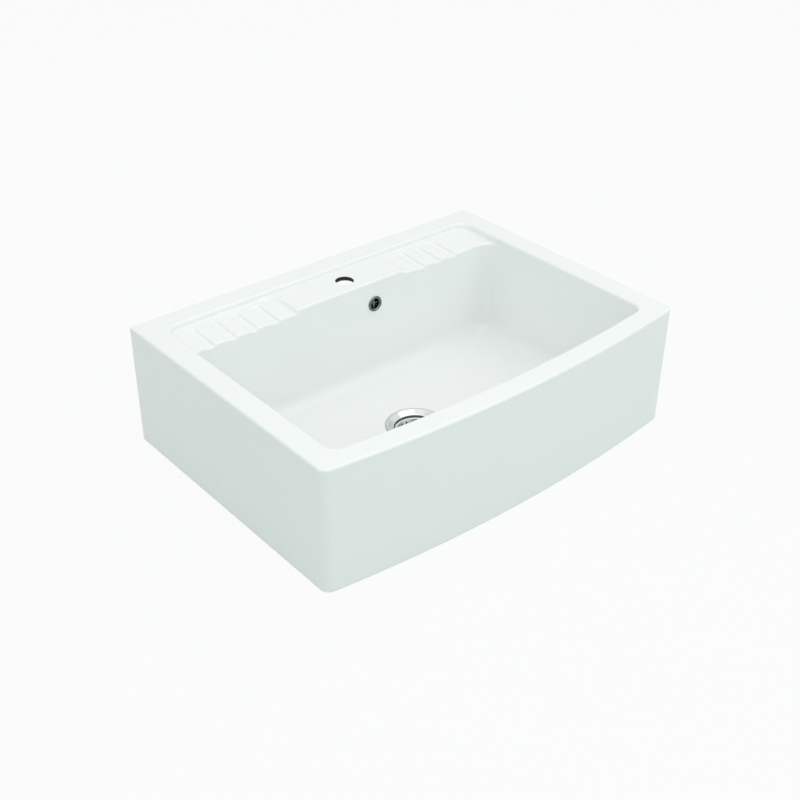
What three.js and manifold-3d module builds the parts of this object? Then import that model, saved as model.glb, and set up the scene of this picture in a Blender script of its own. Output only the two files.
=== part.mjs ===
// Farmhouse apron front sink with its strainer waste and overflow.
// Millimetres, +Z up. The origin is the middle of the base plane: half the width, half the
// overall depth, at the foot of the skirt. -Y is the apron, +Y the wall side.
import * as THREE from "three";
import { mergeVertices } from "three/addons/utils/BufferGeometryUtils.js";
import Module from "manifold-3d";

// ---------- driving dimensions: ceramic ----------
const sinkWidth = 800;
const sideDepth = 562; // back face to the line through the two front corners
const apronBow = 28; // how far the middle of the apron stands past its corners
const sinkHeight = 239;
const rimWidth = 45; // at the sides and the back
const frontRimWidth = 41;
const wallThickness = 13;
const frontCornerRadius = 18;
const backCornerRadius = 5;
const footRadius = 3; // rounding at the foot of the skirt
const rimRadius = 5; // rounding of the rim's two edges
const floorRise = 27; // outer edge of the bowl's floor above the foot of the skirt
const floorFall = 4; // from there down to the waste
const wallLean = THREE.MathUtils.degToRad(1.8);
const bowlFrontRadius = 24;
const bowlBackRadius = 30;
const bowlFloorRadius = 30;
const ledgeWidth = 80; // tap ledge, from the back step to the bowl
const ledgeDrop = 8; // tap platform below the rim
const ledgeCornerRadius = 30;
const ledgeFillet = 9;
const lipRadius = 4.5; // rounded edge between ledge and bowl
const platformWidth = 256;
const platformCornerRadius = 24;
const platformEdgeRadius = 3;
const drainerBackDrop = 12; // drainer floor below the rim, at the back step
const drainerLipDrop = 15; // and at the bowl
const leftGrooveCount = 4;
const leftGroovePitch = 46.6;
const leftFirstGroove = 175; // from the middle of the sink
const rightGrooveCount = 3;
const rightGroovePitch = 42;
const rightFirstGroove = 172.5;
const grooveRadius = 9;
const grooveBackDepth = 3;
const grooveLipDepth = 5;
const grooveLength = 52; // from the bowl towards the back
const tapHoleRadius = 17.5;
const tapHoleOffset = 11; // to the right of the middle
const tapHoleFromLip = 36.5;
const tapHoleEdge = 1.2; // rounding round the hole
const tapRecessRadius = 25; // thinner clay under the hole, where it is knocked out
const tapRecessDepth = 5;
const rearRail = 55; // back wall kept below the rim, over the access opening
const rearReturn = 60; // and at each end of it
const rearOpeningRadius = 20;

// ---------- driving dimensions: waste ----------
const fit = 0.3; // clearance between pieces that touch or pass through each other
const wasteFromBack = 313; // waste centre, measured from the back face
const wasteHoleRadius = 45;
const wasteSeatRadius = 57;
const wasteSeatDepth = 2.5;
const wasteChamfer = 4; // bevel between seat and hole, which clears the flange's cone
const wasteLandRadius = 78; // flat land under the floor that the body's gasket presses on
const steel = 1.2; // sheet of the cup
const flangeRadius = 55.5;
const flangeCrown = 1.8; // flange top above its underside
const flangeLand = 4; // width of the flange outside its cone
const throatRadius = 40.2; // inside of the cup above the basket's ledge
const throatDepth = 6.9; // flange crown down to the foot of its cone
const ledgeInCupDepth = 11.4; // flange crown down to the basket's ledge
const cupRadius = 36.5; // inside of the cup below the ledge
const cupDepth = 37.2; // flange crown down to the cup's floor
const cupFloorRadius = 7;
const cupGasketThickness = 1.5;
const waterwayInner = 8; // sector openings in the cup's floor
const waterwayOuter = 25;
const waterwayArm = 5;
const waterwayCount = 4;
const bodyGasketThickness = 3;
const bodyFlangeRadius = 58;
const bodyFlangeThickness = 5;
const bodyRadius = 50; // outside of the chamber round the cup
const bodyWall = 3.5;
const chamberDepth = 30; // flange top down to the cone
const coneDepth = 20;
const outletRadius = 24; // thread of the outlet, over its crests
const outletWall = 3;
const outletLength = 41;
const gussetCount = 12;
const gussetThickness = 2.5;
const gussetDrop = 12;
const pinRadius = 3;
const pinLength = 22; // below the cup's floor
const pinCollarRadius = 6;
const pinCollarHeight = 1.5;
const pinStemRadius = 2.6;
const pinBulbRadius = 3;
const pinStemHeight = 15.5; // above its collar
const bossRadius = 8;
const bossWebs = 3;
const bossWebThickness = 3;
const insertWall = 2;
const insertLength = 8;

// ---------- driving dimensions: strainer basket ----------
const basketSheet = 1.1;
const basketLipWidth = 4;
const basketDepth = 18.7; // lip top down to the trough
const basketTaper = 3; // how far the wall draws in on its way down
const troughWidth = 5;
const basketCrown = 4.4; // middle of the basket above the trough
const basketCrownRadius = 11;
const wallSlotCount = 18;
const wallSlotWidth = 3;
const wallSlotHeight = 9;
const troughHoleCount = 14;
const troughHoleRadius = 2;
const knobRadius = 11.2;
const knobHeight = 16.5; // above the basket's crown
const knobNeckRadius = 5;
const stemRadius = 5.7;
const sealLipRadius = 29;
const sealThickness = 3;
const retainerRadius = 10;
const retainerThickness = 1.6;

// ---------- driving dimensions: overflow ----------
const overflowOffset = 54; // to the right of the middle
const overflowDrop = 56.3; // centre below the rim
const overflowHoleRadius = 12;
const ringRadius = 15.5;
const ringHeight = 3;
const ringBore = 10;
const sleeveLength = 11;
const grilleDepth = 3; // grille below the face of the wall
const grilleThickness = 2;
const grilleArmWidth = 2.4;
const hubRadius = 4.5;
const screwRadius = 2.5;
const screwHeadRadius = 4;
const screwHeadHeight = 2;
const screwLength = 31;
const overflowGasketThickness = 3;
const elbowFlangeRadius = 22;
const elbowFlangeThickness = 3;
const elbowRadius = 16;
const elbowWall = 3;
const elbowLength = 34; // flange back to the closed end
const spigotRadius = 12.5; // both hose connections
const spigotBore = 10;
const elbowSpigotLength = 33; // below the elbow's axis
const inletReach = 72; // waste axis to the face of the inlet spigot
const inletDrop = 20.4; // inlet axis below the top of the body's flange
const hoseSealThickness = 2;
const collarRadius = 12.3; // collar at each end of the hose
const collarThickness = 3;
const cuffRadius = 10.2;
const cuffLength = 11;
const hoseBore = 8.5;
const ribRadius = 13;
const ribValleyRadius = 10.9;
const ribPitch = 6;
const hoseBendRadius = 59;
const hoseSides = 8;
const nutRadius = 17;
const nutGrip = 1.2; // depth of the finger grips
const nutGripCount = 12;
const nutReach = 9; // length of the nut over the spigot
const nutLip = 3;

// ---------- worked out from the above ----------
const halfWidth = sinkWidth / 2;
const backY = (sideDepth + apronBow) / 2;
const cornerLineY = backY - sideDepth;
const bowRadius = (halfWidth ** 2 + apronBow ** 2) / (2 * apronBow);
const bowCentreY = cornerLineY - apronBow + bowRadius;
const backStepY = backY - rimWidth;
const lipY = backStepY - ledgeWidth;
const floorZ = floorRise - floorFall;
const wasteY = backY - wasteFromBack;
const ledgeUnderZ = sinkHeight - drainerLipDrop - grooveLipDepth - wallThickness;
const ledgeFrontY = lipY - bowlBackRadius;
const platformZ = sinkHeight - ledgeDrop;
const platformUnderZ = platformZ - wallThickness;
const leanAt = (z) => (sinkHeight - z) * Math.tan(wallLean);
const drainerSlope = (drainerLipDrop - drainerBackDrop) / ledgeWidth;
const drainerZ = (y) => sinkHeight - drainerBackDrop - (backStepY - y) * drainerSlope;

const wasm = await Module();
wasm.setup();

// ---------- materials ----------
const finish = (color, roughness, metalness) =>
  new THREE.MeshStandardMaterial({ color, roughness, metalness });
const glaze = () => finish(0xf1f5f3, 0.12, 0);
const chrome = () => finish(0xc4cbcb, 0.12, 1);
const polishedSteel = () => finish(0xb9bfc0, 0.22, 1);
const brass = () => finish(0xb59a5a, 0.35, 1);
const blackRubber = () => finish(0x1c1d1f, 0.75, 0);
const greyRubber = () => finish(0x6b6f70, 0.8, 0);
const whitePlastic = () => finish(0xe9eae6, 0.45, 0);
const greyPlastic = () => finish(0xb7bbbb, 0.5, 0);

// ---------- solids ----------
function toSolid(geometry) {
  const bare = geometry.clone();
  bare.deleteAttribute("normal");
  bare.deleteAttribute("uv");
  const merged = mergeVertices(bare, 1e-4);
  const corners = merged.index.array;
  const triangles = [];
  for (let i = 0; i < corners.length; i += 3) {
    const [a, b, c] = corners.slice(i, i + 3);
    if (a !== b && b !== c && c !== a) triangles.push(a, b, c);
  }
  return new wasm.Manifold(
    new wasm.Mesh({
      numProp: 3,
      vertProperties: new Float32Array(merged.attributes.position.array),
      triVerts: new Uint32Array(triangles),
    })
  );
}

function toGeometry(solid) {
  const mesh = solid.getMesh();
  const geometry = new THREE.BufferGeometry();
  geometry.setAttribute("position", new THREE.BufferAttribute(mesh.vertProperties, 3));
  geometry.setIndex(new THREE.BufferAttribute(mesh.triVerts, 1));
  return geometry;
}

const arcSteps = (count) => Array.from({ length: count + 1 }, (_, i) => i / count);

function arc(cx, cy, radius, startDegrees, endDegrees, count) {
  return arcSteps(count).map((t) => {
    const angle = THREE.MathUtils.degToRad(startDegrees + (endDegrees - startDegrees) * t);
    return [cx + radius * Math.cos(angle), cy + radius * Math.sin(angle)];
  });
}

// Skins a stack of rings, each the same number of [x, y, z] points, and caps both ends.
function loft(rings) {
  const count = rings[0].length;
  const positions = rings.flat(2);
  const index = [];
  for (let ring = 0; ring < rings.length - 1; ring += 1) {
    for (let i = 0; i < count; i += 1) {
      const a = ring * count + i;
      const b = ring * count + ((i + 1) % count);
      index.push(a, b, b + count, a, b + count, a + count);
    }
  }
  const capOf = (ring) =>
    THREE.ShapeUtils.triangulateShape(
      ring.map(([x, y]) => new THREE.Vector2(x, y)),
      []
    );
  for (const [a, b, c] of capOf(rings[0])) index.push(a, c, b);
  const top = (rings.length - 1) * count;
  for (const [a, b, c] of capOf(rings.at(-1))) index.push(top + a, top + b, top + c);
  const geometry = new THREE.BufferGeometry();
  geometry.setAttribute("position", new THREE.Float32BufferAttribute(positions, 3));
  geometry.setIndex(index);
  return geometry;
}

const atHeight = (outline, z) => outline.map(([x, y]) => [x, y, z]);

// A solid turned about Z from [radius, z] points, whichever way round they run.
function turned(profile, segments = 32) {
  const points = profile.map(([r, z]) => new THREE.Vector2(r, z));
  if (THREE.ShapeUtils.area(points) < 0) points.reverse();
  return new THREE.LatheGeometry(points, segments).rotateX(Math.PI / 2);
}

// The same, for a wall whose profile closes on itself away from the axis.
const turnedRing = (profile, segments) => turned([...profile, profile[0]], segments);

const washer = (inner, outer, low, high, segments) =>
  turnedRing([[inner, low], [outer, low], [outer, high], [inner, high]], segments);

function rod(radius, low, high, segments = 20) {
  const geometry = new THREE.CylinderGeometry(radius, radius, high - low, segments);
  return geometry.rotateX(Math.PI / 2).translate(0, 0, (low + high) / 2);
}

function block(x0, x1, y0, y1, z0, z1) {
  const geometry = new THREE.BoxGeometry(x1 - x0, y1 - y0, z1 - z0);
  return geometry.translate((x0 + x1) / 2, (y0 + y1) / 2, (z0 + z1) / 2);
}

// ---------- ceramic basin ----------
// Plan outline with straight back and sides and a bowed front, drawn inset from the outside.
// extraBack holds further x values where the back edge gets a point.
function plan({
  inset, frontInset = inset, back, backRadius, frontRadius, extraBack = [], steps = 6,
}) {
  const side = halfWidth - inset;
  const bow = bowRadius - frontInset;
  const cornerX = side - frontRadius;
  const cornerY = bowCentreY - Math.sqrt((bow - frontRadius) ** 2 - cornerX ** 2);
  const turn = THREE.MathUtils.radToDeg(Math.atan2(cornerX, bowCentreY - cornerY));
  const backSteps = backRadius < 8 ? 3 : steps;
  return [
    ...arc(side - backRadius, back - backRadius, backRadius, 0, 90, backSteps),
    ...extraBack.map((x) => [x, back]),
    ...arc(backRadius - side, back - backRadius, backRadius, 90, 180, backSteps),
    ...arc(-cornerX, cornerY, frontRadius, 180, 270 - turn, steps),
    ...arc(0, bowCentreY, bow, 270 - turn, 270 + turn, 16).slice(1, -1),
    ...arc(cornerX, cornerY, frontRadius, 270 + turn, 360, steps),
  ];
}

const shrunk = (radius, inset, least = 4) => Math.max(radius - inset, least);

function outerPlan(inset) {
  return plan({
    inset,
    back: backY - inset,
    backRadius: shrunk(backCornerRadius, inset, 1),
    frontRadius: shrunk(frontCornerRadius, inset, 1),
  });
}

function outerBlock() {
  const rings = [];
  for (const t of arcSteps(2)) {
    const angle = (t * Math.PI) / 2;
    const inset = footRadius * (1 - Math.sin(angle));
    rings.push(atHeight(outerPlan(inset), footRadius * (1 - Math.cos(angle))));
  }
  for (const t of arcSteps(3)) {
    const angle = (t * Math.PI) / 2;
    const inset = rimRadius * (1 - Math.cos(angle));
    rings.push(atHeight(outerPlan(inset), sinkHeight - rimRadius * (1 - Math.sin(angle))));
  }
  return toSolid(loft(rings));
}

// Bowl outline, grown past the rim's inner edge by a negative inset.
function bowlPlan(inset) {
  const edge = platformWidth / 2;
  return plan({
    inset: rimWidth + inset,
    frontInset: frontRimWidth + inset,
    back: lipY - inset,
    backRadius: shrunk(bowlBackRadius, inset, 20),
    frontRadius: shrunk(bowlFrontRadius, inset, 14),
    extraBack: [edge + 0.1, edge - 0.1, 0.1 - edge, -edge - 0.1],
  });
}

// The ring of a circle about the waste, with its points opposite those of an outline.
function wasteCircle(outline, radius, z) {
  return outline.map(([x, y]) => {
    const angle = Math.atan2(y - wasteY, x);
    return [radius * Math.cos(angle), wasteY + radius * Math.sin(angle), z];
  });
}

// Floor, fillet and wall of the bowl, grown outwards by thickness for the underside.
function bowlRings(thickness, landRadius, steps) {
  const filletZ = floorRise + bowlFloorRadius;
  const filletRadius = bowlFloorRadius + thickness;
  const filletInset = leanAt(filletZ) + bowlFloorRadius;
  const floor = bowlPlan(filletInset);
  const rings = [wasteCircle(floor, landRadius, floorZ - thickness)];
  for (const t of arcSteps(steps)) {
    const angle = (t * Math.PI) / 2;
    const inset = filletInset - filletRadius * Math.sin(angle);
    rings.push(atHeight(bowlPlan(inset), filletZ - filletRadius * Math.cos(angle)));
  }
  return rings;
}

// Height of the surface that the bowl breaks through at a point of its edge, and the largest
// rounding that the edge can have there without cutting the side wall.
function bowlEdge([x, y]) {
  const cornerX = halfWidth - rimWidth - bowlBackRadius;
  if (y <= ledgeFrontY + 0.01) return { z: sinkHeight, radius: rimRadius };
  if (Math.abs(x) < platformWidth / 2) return { z: platformZ, radius: lipRadius };
  const across = (Math.abs(x) - cornerX) / bowlBackRadius;
  const room = across > 0 ? bowlBackRadius * (1 / across - 1) : lipRadius;
  return { z: drainerZ(y), radius: THREE.MathUtils.clamp(room, 0.2, lipRadius) };
}

function bowlCutter() {
  const rings = bowlRings(0, wasteSeatRadius + 3, 5);
  const edge = bowlPlan(0);
  const rounding = edge.map(bowlEdge);
  for (const t of arcSteps(3)) {
    const angle = (t * Math.PI) / 2;
    rings.push(
      edge.map(([x, y], i) => {
        const { z, radius } = rounding[i];
        const height = z - radius * (1 - Math.sin(angle));
        const inset = leanAt(height) - radius * (1 - Math.cos(angle));
        return [...bowlPlan(inset)[i], height];
      })
    );
  }
  rings.push(edge.map((_, i) => [...bowlPlan(-rounding[i].radius)[i], sinkHeight + rimRadius]));
  return toSolid(loft(rings));
}

// The hollow between skirt and bowl, open underneath.
function underHollow() {
  const inside = outerPlan(wallThickness);
  const room = loft([
    atHeight(inside, -1),
    atHeight(inside, sinkHeight - wallThickness),
  ]);
  const slab = block(
    -halfWidth, halfWidth, ledgeFrontY - ledgeFillet, backY, ledgeUnderZ, sinkHeight
  );
  const pocketSide = platformWidth / 2 - wallThickness;
  const pocket = block(
    -pocketSide, pocketSide, ledgeFrontY - 2 * ledgeFillet, backY + 1,
    ledgeUnderZ - 1, platformUnderZ
  );
  const shellRings = bowlRings(wallThickness, wasteLandRadius, 3);
  shellRings.push(atHeight(bowlPlan(-wallThickness), sinkHeight));
  return toSolid(room)
    .subtract(toSolid(slab).subtract(toSolid(pocket)))
    .subtract(toSolid(loft(shellRings)));
}

// The sunken ledge at drainer depth, full width, with rounded edges above and below.
function ledgeRecess() {
  const side = halfWidth - rimWidth;
  const outline = (grow) => {
    const radius = ledgeCornerRadius + grow;
    const front = ledgeFrontY - Math.max(grow, 0);
    return [
      [side + grow, front],
      ...arc(side - ledgeCornerRadius, backStepY - ledgeCornerRadius, radius, 0, 90, 8),
      ...arc(ledgeCornerRadius - side, backStepY - ledgeCornerRadius, radius, 90, 180, 8),
      [-side - grow, front],
    ];
  };
  const rings = [];
  for (const t of arcSteps(3)) {
    const angle = (t * Math.PI) / 2;
    const ring = outline(-ledgeFillet * (1 - Math.sin(angle)));
    const rise = ledgeFillet * (1 - Math.cos(angle));
    rings.push(ring.map(([x, y]) => [x, y, drainerZ(y) + rise]));
  }
  for (const t of arcSteps(3)) {
    const angle = (t * Math.PI) / 2;
    const grow = rimRadius * (1 - Math.cos(angle));
    rings.push(atHeight(outline(grow), sinkHeight - rimRadius * (1 - Math.sin(angle))));
  }
  rings.push(atHeight(outline(rimRadius), sinkHeight + rimRadius));
  return toSolid(loft(rings)).subtract(tapPlatform());
}

// The raised middle of the ledge, which flares into the back step on both sides.
function tapPlatform() {
  const flareY = backStepY - platformCornerRadius;
  const outline = (inset) => {
    const side = platformWidth / 2 - inset;
    const radius = platformCornerRadius + inset;
    const flareX = side + radius;
    return [
      [side, ledgeFrontY - 2 * rimRadius],
      ...arc(flareX, flareY, radius, 180, 90, 6),
      [flareX, backStepY + 2 * rimRadius],
      [-flareX, backStepY + 2 * rimRadius],
      ...arc(-flareX, flareY, radius, 90, 0, 6),
      [-side, ledgeFrontY - 2 * rimRadius],
    ];
  };
  const rings = [atHeight(outline(0), ledgeUnderZ)];
  for (const t of arcSteps(3)) {
    const angle = (t * Math.PI) / 2;
    const inset = platformEdgeRadius * (1 - Math.cos(angle));
    rings.push(atHeight(outline(inset), platformZ - platformEdgeRadius * (1 - Math.sin(angle))));
  }
  return toSolid(loft(rings));
}

// One drainer groove: a ball-ended channel that deepens towards the bowl.
function groove(x) {
  const run = grooveLength + 2 * lipRadius;
  const backEndY = lipY + grooveLength - grooveRadius;
  const backZ = drainerZ(backEndY) + grooveRadius - grooveBackDepth;
  const slope = Math.atan(drainerSlope + (grooveLipDepth - grooveBackDepth) / grooveLength);
  const channel = new THREE.CapsuleGeometry(grooveRadius, run, 3, 14);
  channel.translate(0, -run / 2, 0).rotateX(slope).translate(x, backEndY, backZ);
  return toSolid(channel);
}

// Tap hole with its rounded edge above and its recess below.
function tapHole() {
  const edgeX = tapHoleRadius + tapHoleEdge;
  const recessZ = platformUnderZ + tapRecessDepth;
  const cutter = turned([
    [0, ledgeUnderZ - 1],
    [tapRecessRadius, ledgeUnderZ - 1],
    [tapRecessRadius, recessZ],
    [tapHoleRadius, recessZ],
    ...arc(edgeX, platformZ - tapHoleEdge, tapHoleEdge, 180, 90, 3),
    [edgeX, sinkHeight],
    [0, sinkHeight],
  ]);
  return toSolid(cutter.translate(tapHoleOffset, lipY + tapHoleFromLip, 0));
}

// Access to the tap's fixings from behind, open down to the foot.
function rearOpening() {
  const side = halfWidth - rearReturn;
  const radius = rearOpeningRadius;
  const cornerZ = sinkHeight - rearRail - radius;
  const outline = [
    [side, -1],
    ...arc(side - radius, cornerZ, radius, 0, 90, 4),
    ...arc(radius - side, cornerZ, radius, 90, 180, 4),
    [-side, -1],
  ];
  const shape = new THREE.Shape(outline.map(([x, z]) => new THREE.Vector2(x, z)));
  const cutter = new THREE.ExtrudeGeometry(shape, {
    depth: wallThickness + 2, bevelEnabled: false,
  });
  return toSolid(cutter.rotateX(Math.PI / 2).translate(0, backY + 1, 0));
}

function sinkBasin() {
  let basin = outerBlock()
    .subtract(underHollow())
    .subtract(ledgeRecess())
    .subtract(bowlCutter());
  for (let i = 0; i < leftGrooveCount; i += 1) {
    basin = basin.subtract(groove(-leftFirstGroove - i * leftGroovePitch));
  }
  for (let i = 0; i < rightGrooveCount; i += 1) {
    basin = basin.subtract(groove(rightFirstGroove + i * rightGroovePitch));
  }
  const seat = rod(wasteSeatRadius, floorZ - wasteSeatDepth, floorRise + 2, 40);
  const hole = turned(
    [
      [0, -1],
      [wasteHoleRadius, -1],
      [wasteHoleRadius, floorZ - wasteSeatDepth - wasteChamfer],
      [wasteHoleRadius + wasteChamfer, floorZ - wasteSeatDepth],
      [wasteHoleRadius + wasteChamfer, floorZ],
      [0, floorZ],
    ],
    40
  );
  const overflowHole = rod(overflowHoleRadius, -2 * wallThickness, wallThickness);
  overflow.updateMatrix();
  basin = basin
    .subtract(tapHole())
    .subtract(rearOpening())
    .subtract(toSolid(seat.translate(0, wasteY, 0)))
    .subtract(toSolid(hole.translate(0, wasteY, 0)))
    .subtract(toSolid(overflowHole.applyMatrix4(overflow.matrix)));
  return toGeometry(basin);
}

// ---------- overflow, drawn along the axis of its hole ----------
// z = 0 is the face of the bowl wall, +z comes out into the bowl and +y runs up the wall.
const overflowZ = sinkHeight - overflowDrop;
const overflow = new THREE.Group();
overflow.position.set(overflowOffset, lipY - leanAt(overflowZ), overflowZ);
overflow.rotation.x = Math.PI / 2 - wallLean;

const hubTop = -grilleDepth;
const hubBottom = hubTop - grilleThickness;
const elbowGasketTop = -wallThickness - fit;
const elbowTop = elbowGasketTop - overflowGasketThickness - fit;
const elbowEnd = elbowTop - elbowFlangeThickness - elbowLength;
const elbowAxisZ = elbowEnd + elbowWall + spigotBore + 1;
const elbowBore = elbowRadius - elbowWall;
const elbowBossTop = elbowTop - 2 * fit;
const bossHole = screwRadius + fit;
const insertRadius = screwRadius + fit + insertWall;

function overflowRing() {
  const outer = overflowHoleRadius - fit;
  let ring = toSolid(
    turnedRing(
      [
        [ringBore, -sleeveLength],
        [outer, -sleeveLength],
        [outer, fit],
        [ringRadius, fit],
        [ringRadius, ringHeight / 2],
        [ringRadius - 1, ringHeight - 0.4],
        [ringRadius - 2.4, ringHeight],
        [ringBore + 1.2, ringHeight - 0.8],
        [ringBore, ringHeight - 2.2],
      ],
      28
    )
  );
  const arm = ringBore + 0.5;
  const half = grilleArmWidth / 2;
  ring = ring
    .add(toSolid(block(-arm, arm, -half, half, hubBottom, hubTop)))
    .add(toSolid(block(-half, half, -arm, arm, hubBottom, hubTop)))
    .add(toSolid(rod(hubRadius, hubBottom, hubTop, 20)))
    .subtract(toSolid(rod(screwRadius + fit, hubBottom - 1, hubTop + 1, 16)));
  return toGeometry(ring);
}

function overflowScrew() {
  const head = hubTop + fit;
  return turned(
    [
      [0, head - screwLength],
      [screwRadius - 0.8, head - screwLength],
      [screwRadius, head - screwLength + 1],
      [screwRadius, head],
      [screwHeadRadius, head],
      [screwHeadRadius, head + screwHeadHeight / 2],
      [screwHeadRadius - 1.2, head + screwHeadHeight],
      [0, head + screwHeadHeight],
    ],
    16
  );
}

// Elbow body with its spigot pointing down the wall and a boss for the screw's brass nut.
function overflowElbow() {
  const foot = -elbowSpigotLength;
  let elbow = toSolid(
    turned(
      [
        [0, elbowEnd],
        [elbowRadius - 2, elbowEnd],
        [elbowRadius, elbowEnd + 2],
        [elbowRadius, elbowTop - elbowFlangeThickness],
        [elbowFlangeRadius, elbowTop - elbowFlangeThickness],
        [elbowFlangeRadius, elbowTop],
        [0, elbowTop],
      ],
      28
    )
  );
  const pipe = (radius, low, high) =>
    toSolid(rod(radius, low, high).rotateX(-Math.PI / 2).translate(0, 0, elbowAxisZ));
  elbow = elbow
    .add(pipe(spigotRadius, foot, 0))
    .subtract(toSolid(rod(elbowBore, elbowEnd + elbowWall, elbowTop + 1, 28)))
    .subtract(pipe(spigotBore, foot - 1, 0));
  const bossRadiusHere = insertRadius + fit + 1.6;
  const boss = toSolid(rod(bossRadiusHere, elbowEnd + 1, elbowBossTop, 20));
  const webs = toSolid(
    block(-elbowBore - 1, elbowBore + 1, -1, 1, elbowAxisZ + spigotBore, elbowBossTop - 3)
  );
  return toGeometry(
    elbow
      .add(boss)
      .add(webs)
      .subtract(toSolid(rod(bossHole, hubTop - screwLength - 1, elbowTop + 1, 16)))
      .subtract(
        toSolid(rod(insertRadius + fit, elbowBossTop - insertLength - fit, elbowTop + 1, 20))
      )
  );
}

// ---------- waste, drawn about its own axis at its real height ----------
const waste = new THREE.Group();
waste.position.set(0, wasteY, 0);

const flangeUnderZ = floorZ - wasteSeatDepth + cupGasketThickness + 2 * fit;
const flangeTopZ = flangeUnderZ + flangeCrown;
const crownRadius = flangeRadius - flangeLand;
const coneFootZ = flangeTopZ - throatDepth;
const basketLedgeZ = flangeTopZ - ledgeInCupDepth;
const cupFloorZ = flangeTopZ - cupDepth;
const coneAngle = Math.atan2(throatDepth, crownRadius - throatRadius);
const coneZ = (r) => flangeTopZ - (crownRadius - r) * Math.tan(coneAngle);
const bodyTopZ = floorZ - wallThickness - bodyGasketThickness - 2 * fit;
const chamberFootZ = bodyTopZ - chamberDepth;
const coneEndZ = chamberFootZ - coneDepth;
const outletEndZ = coneEndZ - outletLength;
const inletZ = bodyTopZ - inletDrop;
const pinFootZ = cupFloorZ - pinLength;
const pinTopZ = cupFloorZ + fit + pinCollarHeight + pinStemHeight;
const bossTopZ = cupFloorZ - steel - fit;
const pinHole = pinRadius + fit;

function strainerCup() {
  const bend = cupRadius - cupFloorRadius;
  const bendZ = cupFloorZ + cupFloorRadius;
  const underCone = (r) => coneZ(r) - steel / Math.cos(coneAngle);
  const outside = throatRadius + steel;
  const flatFrom = crownRadius - (flangeTopZ - flangeUnderZ) / Math.tan(coneAngle)
    + steel / Math.sin(coneAngle);
  const profile = [
    [flangeRadius, flangeUnderZ],
    [flangeRadius, flangeUnderZ + flangeCrown / 2],
    [flangeRadius - 1, flangeTopZ - 0.4],
    [crownRadius + 1, flangeTopZ],
    [crownRadius - 1, coneZ(crownRadius - 1)],
    [throatRadius, coneFootZ],
    [throatRadius, basketLedgeZ],
    [cupRadius, basketLedgeZ],
    ...arc(bend, bendZ, cupFloorRadius, 0, -90, 4),
    [pinHole, cupFloorZ],
    [pinHole, cupFloorZ - steel],
    ...arc(bend, bendZ, cupFloorRadius + steel, -90, 0, 4),
    [cupRadius + steel, basketLedgeZ - steel],
    [outside, basketLedgeZ - steel],
    [outside, underCone(outside)],
    [flatFrom, flangeUnderZ],
  ];
  let cup = toSolid(turnedRing(profile, 32));
  const halfArm = Math.asin(waterwayArm / 2 / waterwayOuter);
  for (let i = 0; i < waterwayCount; i += 1) {
    const start = (i * 2 * Math.PI) / waterwayCount + halfArm;
    const end = ((i + 1) * 2 * Math.PI) / waterwayCount - halfArm;
    const sector = new THREE.Shape();
    sector.absarc(0, 0, waterwayOuter, start, end, false);
    sector.absarc(0, 0, waterwayInner, end, start, true);
    const opening = new THREE.ExtrudeGeometry(sector, {
      depth: 4 * steel, bevelEnabled: false, curveSegments: 6,
    });
    cup = cup.subtract(toSolid(opening.translate(0, 0, cupFloorZ - 2.5 * steel)));
  }
  return toGeometry(cup);
}

function cupGasket() {
  const outer = flangeRadius - 0.7;
  const low = floorZ - wasteSeatDepth + fit;
  return washer(crownRadius - 0.3, outer, low, low + cupGasketThickness, 32);
}

// Height of the body's outer wall, and the solid that its ribs and webs are cut to.
function bodyOutside() {
  return [
    [outletRadius, outletEndZ],
    [outletRadius, coneEndZ - bodyWall / 2],
    [bodyRadius, chamberFootZ - bodyWall / 2],
    [bodyRadius, bodyTopZ - bodyFlangeThickness],
    [bodyFlangeRadius, bodyTopZ - bodyFlangeThickness],
    [bodyFlangeRadius, bodyTopZ],
  ];
}

const inletTurn = Math.atan2(overflowOffset, lipY + wallThickness - wasteY);

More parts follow.
